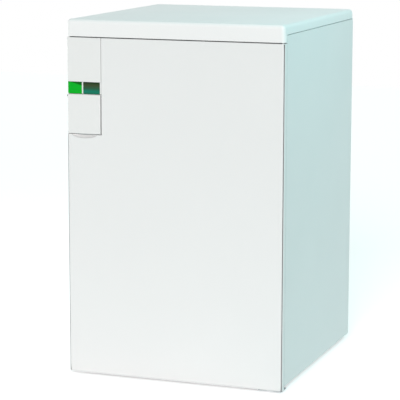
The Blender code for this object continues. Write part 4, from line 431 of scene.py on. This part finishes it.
def height_share(tree, bottom, top):
    """How far up a place is, from 0 at one height in metres to 1 at another."""
    place = tree.nodes.new("ShaderNodeSeparateXYZ")
    tree.links.new(object_place(tree), place.inputs["Vector"])
    return spread(tree, place.outputs["Z"], start=bottom, end=top)


def lens_finish(tree, roughness, gloss):
    shader = tree.nodes["Principled BSDF"]
    shader.inputs["Roughness"].default_value = roughness
    shader.inputs["Specular IOR Level"].default_value = gloss
    tree.links.new(bump(tree, noise(tree, scale=260.0), distance=0.00001), shader.inputs["Normal"])
    return shader


def green_lens():
    """The lit green moulding, with a painted shadow in a wedge along its top that reaches further down
    towards its right end.
    """
    made = make_material("green_lens_plastic")
    tree = made.node_tree
    lowest, highest = low("green_lens"), high("green_lens")
    place = tree.nodes.new("ShaderNodeSeparateXYZ")
    tree.links.new(object_place(tree), place.inputs["Vector"])
    # Painted shadow: a dark band along the lens's top that grows deeper towards its right end
    shadow_slope = spread(tree, place.outputs["X"], high_end=LENS_SHADOW_WEDGE, start=lowest.x + LENS_SHADOW_WEDGE, end=highest.x)
    level = tree.nodes.new("ShaderNodeMath")
    level.operation = "ADD"
    tree.links.new(place.outputs["Z"], level.inputs[0])
    tree.links.new(shadow_slope, level.inputs[1])
    share = spread(tree, level.outputs["Value"], start=highest.z - SHADOW_BLUR_BELOW, end=highest.z + SHADOW_BLUR_ABOVE)
    # The first colour is the lens's own green, the second is the painted shadow
    lit, painted_shadow = (0.003, 0.43, 0.022), (0.004, 0.12, 0.010)
    shader = lens_finish(tree, roughness=0.22, gloss=0.08)
    tree.links.new(mix_colour(tree, share, lit, painted_shadow), shader.inputs["Base Color"])
    return made


def dark_lens():
    """Smoked green: teal below is the lens's own tint, and the darkening through brown to near black at the
    top is painted shade.
    """
    made = make_material("smoked_lens_plastic")
    tree = made.node_tree
    teal, green, olive = (0.012, 0.170, 0.095), (0.004, 0.190, 0.120), (0.022, 0.105, 0.052)
    brown, shadow, black = (0.042, 0.066, 0.026), (0.022, 0.050, 0.016), (0.003, 0.016, 0.004)
    # The upper stops, darkening to black, are painted shade; the teal and green below are the lens's own
    # smoked tint
    stops = [(0.0, teal), (0.22, green), (0.45, olive), (0.72, brown), (0.90, shadow), (1.0, black)]
    height = height_share(tree, low("dark_lens").z, high("dark_lens").z)
    shader = lens_finish(tree, roughness=0.16, gloss=0.12)
    tree.links.new(colour_ramp(tree, height, stops), shader.inputs["Base Color"])
    return made


def sight_glass():
    made = make_material("sight_glass")
    tree = made.node_tree
    shader = lens_finish(tree, roughness=0.05, gloss=0.5)
    share = spread(tree, noise(tree, scale=200.0))
    tint = mix_colour(tree, share, (0.70, 0.77, 0.77), (0.80, 0.86, 0.86))
    tree.links.new(tint, shader.inputs["Base Color"])
    shader.inputs["Transmission Weight"].default_value = 0.9
    return made


def make_materials():
    return {
        "case_white": white_enamel(),
        "cover_white": cover_enamel(),
        "control_white": white_moulding(),
        "galvanised": galvanised_sheet(),
        "steel": bright_steel(),
        "cast_iron": cast_iron(),
        "burner_steel": heated_steel(),
        "foil": crinkled_foil(),
        "valve_alloy": cast_alloy(),
        "brass": machined_brass(),
        "copper": drawn_copper(),
        "black_plastic": black_moulding(),
        "grey_plastic": grey_moulding(),
        "red_plastic": red_moulding(),
        "green_lens": green_lens(),
        "dark_lens": dark_lens(),
        "sight_glass": sight_glass(),
        "dial_white": dial_face(),
    }


def crease_group(name, limit):
    """A modifier that shades a solid smooth but keeps corners above an angle sharp."""
    group = bpy.data.node_groups.new(name, "GeometryNodeTree")
    group.interface.new_socket("Geometry", in_out="INPUT", socket_type="NodeSocketGeometry")
    group.interface.new_socket("Geometry", in_out="OUTPUT", socket_type="NodeSocketGeometry")
    start = group.nodes.new("NodeGroupInput")
    end = group.nodes.new("NodeGroupOutput")
    weld = group.nodes.new("GeometryNodeMergeByDistance")
    weld.inputs["Distance"].default_value = WELD
    faces = group.nodes.new("GeometryNodeSetShadeSmooth")
    faces.domain = "FACE"
    edges = group.nodes.new("GeometryNodeSetShadeSmooth")
    edges.domain = "EDGE"
    edges.inputs["Shade Smooth"].default_value = False
    angle = group.nodes.new("GeometryNodeInputMeshEdgeAngle")
    sharp = group.nodes.new("FunctionNodeCompare")
    sharp.operation = "GREATER_THAN"
    sharp.inputs[1].default_value = limit
    group.links.new(angle.outputs["Unsigned Angle"], sharp.inputs[0])
    group.links.new(start.outputs[0], weld.inputs["Geometry"])
    group.links.new(weld.outputs["Geometry"], faces.inputs["Geometry"])
    group.links.new(faces.outputs["Geometry"], edges.inputs["Geometry"])
    group.links.new(sharp.outputs["Result"], edges.inputs["Selection"])
    group.links.new(edges.outputs["Geometry"], end.inputs[0])
    return group


def dress_nodes(materials):
    slots = {entry["node"]: entry["material_slot"] for entry in frame["record"]["subparts"]}
    creased = crease_group("smooth_but_creased", CREASE_ANGLE)
    tubular = crease_group("smooth_tubes", TUBE_CREASE_ANGLE)
    for name, node in NODES.items():
        node.data.materials.clear()
        node.data.materials.append(materials[NODE_FINISHES.get(name, slots[name])])
        modifier = node.modifiers.new("Crease", "NODES")
        modifier.node_group = tubular if name in TUBE_NODES else creased
        weighted = node.modifiers.new("Flat faces", "WEIGHTED_NORMAL")
        weighted.keep_sharp = True


def seat(node, place, direction):
    """Where a straight line from a place first meets a CAD node, and which way that face looks."""
    mesh = NODES[node].data
    corners = [vertex.co for vertex in mesh.vertices]
    tree = BVHTree.FromPolygons(corners, [face.vertices for face in mesh.polygons])
    spot, normal, _, _ = tree.ray_cast(Vector(place), Vector(direction))
    return spot, normal


def facing(spot, normal, clockwise=0.0):
    """A matrix with Z out of a face and Y upright on it, turned clockwise as seen from outside."""
    across = Vector((0, 0, 1)).cross(normal).normalized()
    matrix = Matrix((across, normal.cross(across), normal)).transposed().to_4x4()
    return Matrix.Translation(spot) @ matrix @ Matrix.Rotation(-clockwise, 4, "Z")


def front_seat(node, x, z, clockwise=0.0):
    """A matrix on the foremost face of a node, at a place across and up."""
    return facing(*seat(node, (x, low(node).y - FAR_OFF, z), (0, 1, 0)), clockwise)


def back_seat(node, x, z):
    """A matrix on the rearmost face of a node, at a place across and up."""
    return facing(*seat(node, (x, high(node).y + FAR_OFF, z), (0, -1, 0)))


def mesh_from(bm, name):
    mesh = bpy.data.meshes.new(name)
    bm.to_mesh(mesh)
    bm.free()
    return mesh


def add_piece(name, bm, slot, body):
    """A new piece from a bmesh, in a slot's material, that moves with a body."""
    mesh = mesh_from(bm, name)
    mesh.shade_smooth()
    mesh.set_sharp_from_angle(angle=CREASE_ANGLE)
    mesh.materials.append(MATERIALS[slot])
    piece = bpy.data.objects.new(name, mesh)
    bpy.context.scene.collection.objects.link(piece)
    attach(piece, body)


def add_copy(bm, mesh, matrix):
    """Adds a copy of a mesh to a bmesh, moved by a matrix."""
    copy = mesh.copy()
    copy.transform(matrix)
    bm.from_mesh(copy)
    bpy.data.meshes.remove(copy)


def add_bar(bm, matrix, start, length, width, depth):
    """A slim bar that stands on the matrix's floor and runs along its Y from a start."""
    made = bmesh.ops.create_cube(bm, size=1.0)["verts"]
    place = matrix @ Matrix.Translation((0, start + length / 2, depth / 2))
    bmesh.ops.transform(bm, matrix=place @ Matrix.Diagonal((width, length, depth, 1.0)), verts=made)


def turned(name, profile, sides):
    """A closed turned mesh, from a profile of radii and heights that starts and ends on its axis."""
    bm = bmesh.new()
    points = [bm.verts.new((radius, 0, height)) for radius, height in profile]
    lines = [bm.edges.new(pair) for pair in zip(points, points[1:])]
    bmesh.ops.spin(bm, geom=points + lines, axis=(0, 0, 1), cent=(0, 0, 0), angle=math.tau, steps=sides)
    bmesh.ops.remove_doubles(bm, verts=bm.verts, dist=WELD)
    bmesh.ops.recalc_face_normals(bm, faces=bm.faces)
    return mesh_from(bm, name)


def screw_head():
    """A pan head with a cross recess, as a mesh that stands on Z = 0."""
    angles = [math.pi / 2 * step / SCREW_STEPS for step in range(SCREW_STEPS + 1)]
    crown = SCREW_HEIGHT * (1 - SCREW_RIM_SHARE)
    rim = SCREW_HEIGHT * SCREW_RIM_SHARE
    profile = [(SCREW_RADIUS * math.sin(angle), rim + crown * math.cos(angle)) for angle in angles]
    underside = [(SCREW_RADIUS, 0), (0, 0)]
    head = bpy.data.objects.new("screw_head", turned("screw_head", profile + underside, SCREW_SIDES))
    bpy.context.scene.collection.objects.link(head)
    cutters = []
    for turn in (0.0, math.pi / 2):
        bm = bmesh.new()
        floor = Matrix.Translation((0, 0, SCREW_HEIGHT - RECESS_DEPTH)) @ Matrix.Rotation(turn, 4, "Z")
        add_bar(bm, floor, -RECESS_LENGTH / 2, RECESS_LENGTH, RECESS_WIDTH, RECESS_DEPTH * 2)
        cutters.append(bpy.data.objects.new("recess", mesh_from(bm, "recess")))
        bpy.context.scene.collection.objects.link(cutters[-1])
        cut = head.modifiers.new("Recess", "BOOLEAN")
        cut.object = cutters[-1]
    bpy.context.view_layer.update()
    finished = bpy.data.meshes.new_from_object(head.evaluated_get(bpy.context.evaluated_depsgraph_get()))
    for helper in (head, *cutters):
        bpy.data.objects.remove(helper, do_unlink=True)
    return finished


def add_screws(name, head, seats):
    bm = bmesh.new()
    for matrix in seats:
        add_copy(bm, head, matrix)
    add_piece(name, bm, "steel", "case")


def grid(xs, zs):
    return [(x, z) for x in xs for z in zs]


def both_sides(x):
    return -x, x


def make_screws():
    head = screw_head()
    rear = [back_seat("rear_panel", *place) for place in grid(both_sides(REAR_SCREW_X), REAR_SCREW_LEVELS)]
    add_screws("rear_panel_screws", head, rear)
    top = [back_seat("top_cover", x, TOP_SCREW_Z) for x in both_sides(TOP_SCREW_X)]
    add_screws("top_cover_screws", head, top)
    housing = [back_seat("housing_back_cover", *place)
               for place in grid(HOUSING_SCREW_XS, HOUSING_SCREW_LEVELS)]
    add_screws("housing_cover_screws", head, housing)
    plate = [front_seat("burner_front_plate", *place)
             for place in grid(both_sides(PLATE_SCREW_X), PLATE_SCREW_LEVELS)]
    add_screws("burner_plate_screws", head, plate)
    sides = [front_seat(node, x, z)
             for node, x in zip(("side_panel_left", "side_panel_right"), both_sides(SIDE_SCREW_X))
             for z in SIDE_SCREW_LEVELS]
    add_screws("side_panel_screws", head, sides)
    rail = [front_seat("front_top_rail", x, RAIL_SCREW_Z) for x in both_sides(RAIL_SCREW_X)]
    add_screws("top_rail_screws", head, rail)
    valve = [front_seat("gas_valve", *place) for place in grid(VALVE_SCREW_XS, VALVE_SCREW_LEVELS)]
    add_screws("gas_valve_screws", head, valve)


def add_character(bm, matrix, character, height):
    """A printed character, centred on the matrix's origin."""
    curve = bpy.data.curves.new("character", "FONT")
    curve.body = character
    curve.size = height
    curve.extrude = MARK_DEPTH / 2
    curve.align_x = "CENTER"
    curve.align_y = "CENTER"
    holder = bpy.data.objects.new("character", curve)
    mesh = bpy.data.meshes.new_from_object(holder)
    add_copy(bm, mesh, matrix @ Matrix.Translation((0, 0, MARK_DEPTH / 2)))
    bmesh.ops.remove_doubles(bm, verts=bm.verts, dist=WELD / 2)
    bpy.data.meshes.remove(mesh)
    bpy.data.objects.remove(holder)


def round_place(node, centre, radius, clockwise):
    """A matrix on a node's front, at a radius and a clock angle round a centre, with its Y away from it."""
    x = centre[0] + radius * math.sin(clockwise)
    z = centre[1] + radius * math.cos(clockwise)
    return front_seat(node, x, z)


def sweep_angles(sweep, steps):
    """Clock angles from one end of a sweep to the other, the same either side of the top."""
    return [sweep * (step / steps - 1 / 2) for step in range(steps + 1)]


def add_ticks(bm, node, centre, start, length, angles):
    for angle in angles:
        x = centre[0] + start * math.sin(angle)
        z = centre[1] + start * math.cos(angle)
        add_bar(bm, front_seat(node, x, z, angle), 0.0, length, MARK_WIDTH, MARK_DEPTH)


def middle_of(node):
    """A node's centre, across and up."""
    lowest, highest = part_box(node)
    return (lowest.x + highest.x) / 2, (lowest.z + highest.z) / 2


def add_pointer(name, node, body, clockwise):
    """A white line on the front of a knob, from near its centre to near its rim."""
    bm = bmesh.new()
    place = front_seat(node, *middle_of(node), clockwise)
    add_bar(bm, place, POINTER_START, POINTER_LENGTH, POINTER_WIDTH, POINTER_DEPTH)
    add_piece(name, bm, "dial_white", body)


def make_thermostat_marks():
    """A scale from 1 to 7 round the thermostat knob."""
    centre = middle_of("thermostat_knob")
    bm = bmesh.new()
    add_ticks(bm, "control_housing", centre, TICK_START, TICK_LENGTH,
              sweep_angles(THERMOSTAT_SWEEP, 2 * (THERMOSTAT_STEPS - 1)))
    for number, angle in enumerate(sweep_angles(THERMOSTAT_SWEEP, THERMOSTAT_STEPS - 1), 1):
        place = round_place("control_housing", centre, NUMBER_RADIUS, angle)
        add_character(bm, place, str(number), NUMBER_HEIGHT)
    add_piece("thermostat_scale", bm, "black_plastic", "case")
    add_pointer("thermostat_pointer", "thermostat_knob", "thermostat", -THERMOSTAT_SWEEP / 2)


def make_gas_marks():
    """Three ticks round the gas valve's knob, which turns left from its rest on the right."""
    bm = bmesh.new()
    quarter = math.pi / 2
    centre = middle_of("gas_valve_knob")
    add_ticks(bm, "gas_valve", centre, GAS_TICK_START, TICK_LENGTH, (-quarter, 0, quarter))
    add_piece("gas_valve_ticks", bm, "black_plastic", "case")
    add_pointer("gas_valve_pointer", "gas_valve_knob", "gas_knob", quarter)


def make_switch_marks():
    """A line for on and a ring for off on the rocker."""
    bm = bmesh.new()
    x, z = middle_of("power_switch")
    for character, rise in (("I", SWITCH_MARK_RISE), ("O", -SWITCH_MARK_RISE)):
        add_character(bm, front_seat("power_switch", x, z + rise), character, SWITCH_MARK_HEIGHT)
    add_piece("switch_marks", bm, "dial_white", "switch")


def make_dial_marks():
    """A scale from 0 to 120 degrees on the thermometer, with its last stretch in red."""
    centre = middle_of("thermometer_dial")
    angles = sweep_angles(DIAL_SWEEP, DIAL_STEPS)
    for name, slot, part in (("dial_ticks", "black_plastic", angles[:DIAL_RED_FROM]),
                             ("dial_red_ticks", "red_plastic", angles[DIAL_RED_FROM:])):
        bm = bmesh.new()
        add_ticks(bm, "thermometer_dial", centre, DIAL_TICK_START, DIAL_TICK_LENGTH, part)
        add_piece(name, bm, slot, "case")
    bm = bmesh.new()
    for step in range(0, DIAL_STEPS + 1, 2):
        place = round_place("thermometer_dial", centre, DIAL_NUMBER_RADIUS, angles[step])
        add_character(bm, place, str(10 * step), DIAL_NUMBER_HEIGHT)
    add_piece("dial_numbers", bm, "black_plastic", "case")


def strap_path():
    """Points and outward directions round the front and sides of the jacket, seen from above."""
    lowest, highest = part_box("insulation_jacket")
    path = [((lowest.x, highest.y), (-1.0, 0.0))]
    for centre_x, first in ((lowest.x + JACKET_RADIUS, math.pi), (highest.x - JACKET_RADIUS, 1.5 * math.pi)):
        for step in range(STRAP_STEPS + 1):
            angle = first + math.pi / 2 * step / STRAP_STEPS
            out = (math.cos(angle), math.sin(angle))
            path.append(((centre_x + JACKET_RADIUS * out[0], lowest.y + JACKET_RADIUS * (1 + out[1])), out))
    path.append(((highest.x, highest.y), (1.0, 0.0)))
    return path


def add_strap(bm, level):
    """A flat steel band that follows the jacket, open at its back."""
    rings = []
    for (x, y), (out_x, out_y) in strap_path():
        ring = []
        for off, side in ((0, -1), (STRAP_THICKNESS, -1), (STRAP_THICKNESS, 1), (0, 1)):
            reach = STRAP_GAP + off
            ring.append(bm.verts.new((x + out_x * reach, y + out_y * reach, level + side * STRAP_WIDTH / 2)))
        rings.append(ring)
    for first, second in zip(rings, rings[1:]):
        for corner in range(len(first)):
            following = (corner + 1) % len(first)
            bm.faces.new((first[corner], first[following], second[following], second[corner]))
    bm.faces.new(rings[0])
    bm.faces.new(rings[-1])


def make_straps():
    bm = bmesh.new()
    for level in STRAP_LEVELS:
        add_strap(bm, level)
    bmesh.ops.recalc_face_normals(bm, faces=bm.faces)
    add_piece("jacket_straps", bm, "galvanised", "case")


def make_washers():
    """Spring washers on their studs, which hold the pad in the door."""
    edge = WASHER_RADIUS - WASHER_THICKNESS
    profile = [(0, STUD_HEIGHT), (STUD_RADIUS, STUD_HEIGHT), (STUD_RADIUS, WASHER_THICKNESS),
               (edge, WASHER_THICKNESS), (WASHER_RADIUS, 0), (0, 0)]
    washer = turned("washer", profile, WASHER_SIDES)
    bm = bmesh.new()
    for x, z in WASHER_PLACES:
        add_copy(bm, washer, back_seat("door_insulation", x, z))
    add_piece("door_pad_washers", bm, "steel", "door")


def sun(name, direction, strength, colour):
    light = bpy.data.lights.new(name, "SUN")
    light.energy = strength
    light.color = colour
    light.angle = SUN_ANGLE
    lamp = bpy.data.objects.new(name, light)
    lamp.rotation_mode = "QUATERNION"
    lamp.rotation_quaternion = Vector(direction).to_track_quat("Z", "Y")
    bpy.context.scene.collection.objects.link(lamp)


def softbox(name, place, target, size, power, colour):
    """A square lamp that faces a target."""
    light = bpy.data.lights.new(name, "AREA")
    light.energy = power
    light.color = colour
    light.size = size
    lamp = bpy.data.objects.new(name, light)
    lamp.location = place
    lamp.rotation_mode = "QUATERNION"
    lamp.rotation_quaternion = (Vector(place) - Vector(target)).to_track_quat("Z", "Y")
    bpy.context.scene.collection.objects.link(lamp)


def seen_directly(tree):
    """1 where the ray comes straight from the camera, a mirror or a clear piece."""
    paths = tree.nodes.new("ShaderNodeLightPath")
    first = tree.nodes.new("ShaderNodeMath")
    first.operation = "MAXIMUM"
    tree.links.new(paths.outputs["Is Camera Ray"], first.inputs[0])
    tree.links.new(paths.outputs["Is Glossy Ray"], first.inputs[1])
    second = tree.nodes.new("ShaderNodeMath")
    second.operation = "MAXIMUM"
    tree.links.new(first.outputs["Value"], second.inputs[0])
    tree.links.new(paths.outputs["Is Transmission Ray"], second.inputs[1])
    return second.outputs["Value"]


def make_world():
    world = bpy.data.worlds.new("studio")
    world.use_nodes = True
    bpy.context.scene.world = world
    tree = world.node_tree
    tree.nodes.clear()
    light = tree.nodes.new("ShaderNodeBackground")
    light.inputs["Color"].default_value = (*WORLD_COLOUR, 1.0)
    light.inputs["Strength"].default_value = WORLD_STRENGTH
    white = tree.nodes.new("ShaderNodeBackground")
    white.inputs["Color"].default_value = (1.0, 1.0, 1.0, 1.0)
    white.inputs["Strength"].default_value = 1.0
    blend = tree.nodes.new("ShaderNodeMixShader")
    end = tree.nodes.new("ShaderNodeOutputWorld")
    tree.links.new(seen_directly(tree), blend.inputs["Fac"])
    tree.links.new(light.outputs["Background"], blend.inputs[1])
    tree.links.new(white.outputs["Background"], blend.inputs[2])
    tree.links.new(blend.outputs["Shader"], end.inputs["Surface"])


def make_floor():
    """A white floor that keeps the object's shadow, with a glow that only the camera sees."""
    mesh = bpy.data.meshes.new("floor")
    corners = [(x * FLOOR_HALF, y * FLOOR_HALF, 0) for x, y in ((-1, -1), (1, -1), (1, 1), (-1, 1))]
    mesh.from_pydata(corners, [], [(0, 1, 2, 3)])
    floor = bpy.data.objects.new("floor", mesh)
    bpy.context.scene.collection.objects.link(floor)
    made = make_material("pale_floor")
    tree = made.node_tree
    shader = tree.nodes["Principled BSDF"]
    shader.inputs["Base Color"].default_value = (*FLOOR_COLOUR, 1.0)
    shader.inputs["Roughness"].default_value = FLOOR_ROUGHNESS
    shader.inputs["Emission Color"].default_value = (1.0, 1.0, 1.0, 1.0)
    glow = tree.nodes.new("ShaderNodeMath")
    glow.operation = "MULTIPLY"
    glow.inputs[1].default_value = FLOOR_GLOW
    tree.links.new(seen_directly(tree), glow.inputs[0])
    tree.links.new(glow.outputs["Value"], shader.inputs["Emission Strength"])
    mesh.materials.append(made)


def make_camera():
    forward = Vector((-math.sin(YAW) * math.cos(PITCH), math.cos(YAW) * math.cos(PITCH), -math.sin(PITCH)))
    right = Vector((math.cos(YAW), math.sin(YAW), 0.0))
    up = right.cross(forward)
    turned_right = math.cos(ROLL) * right + math.sin(ROLL) * up
    turned_up = math.cos(ROLL) * up - math.sin(ROLL) * right
    target = Vector((TARGET_X, CAD_BOX[0][1], TARGET_Z))
    place = target - forward * CAMERA_DISTANCE
    data = bpy.data.cameras.new("camera")
    data.lens = LENS_MM
    data.sensor_width = SENSOR_MM
    data.clip_end = VIEW_REACH
    camera = bpy.data.objects.new("camera", data)
    matrix = Matrix((turned_right, turned_up, -forward)).transposed().to_4x4()
    camera.matrix_world = Matrix.Translation(place) @ matrix
    bpy.context.scene.collection.objects.link(camera)
    bpy.context.scene.camera = camera


def make_stage():
    sun("key_light", KEY_DIRECTION, KEY_STRENGTH, KEY_COLOUR)
    softbox("side_light", SIDE_PLACE, (0, 0, TARGET_Z), SIDE_SIZE, SIDE_POWER, SIDE_COLOUR)
    softbox("left_light", LEFT_PLACE, LEFT_TARGET, LEFT_SIZE, LEFT_POWER, LEFT_COLOUR)
    make_world()
    make_floor()
    make_camera()
    bpy.context.scene.view_settings.view_transform = "Standard"


MATERIALS = make_materials()
dress_nodes(MATERIALS)
make_screws()
make_thermostat_marks()
make_gas_marks()
make_switch_marks()
make_dial_marks()
make_straps()
make_washers()
make_stage()
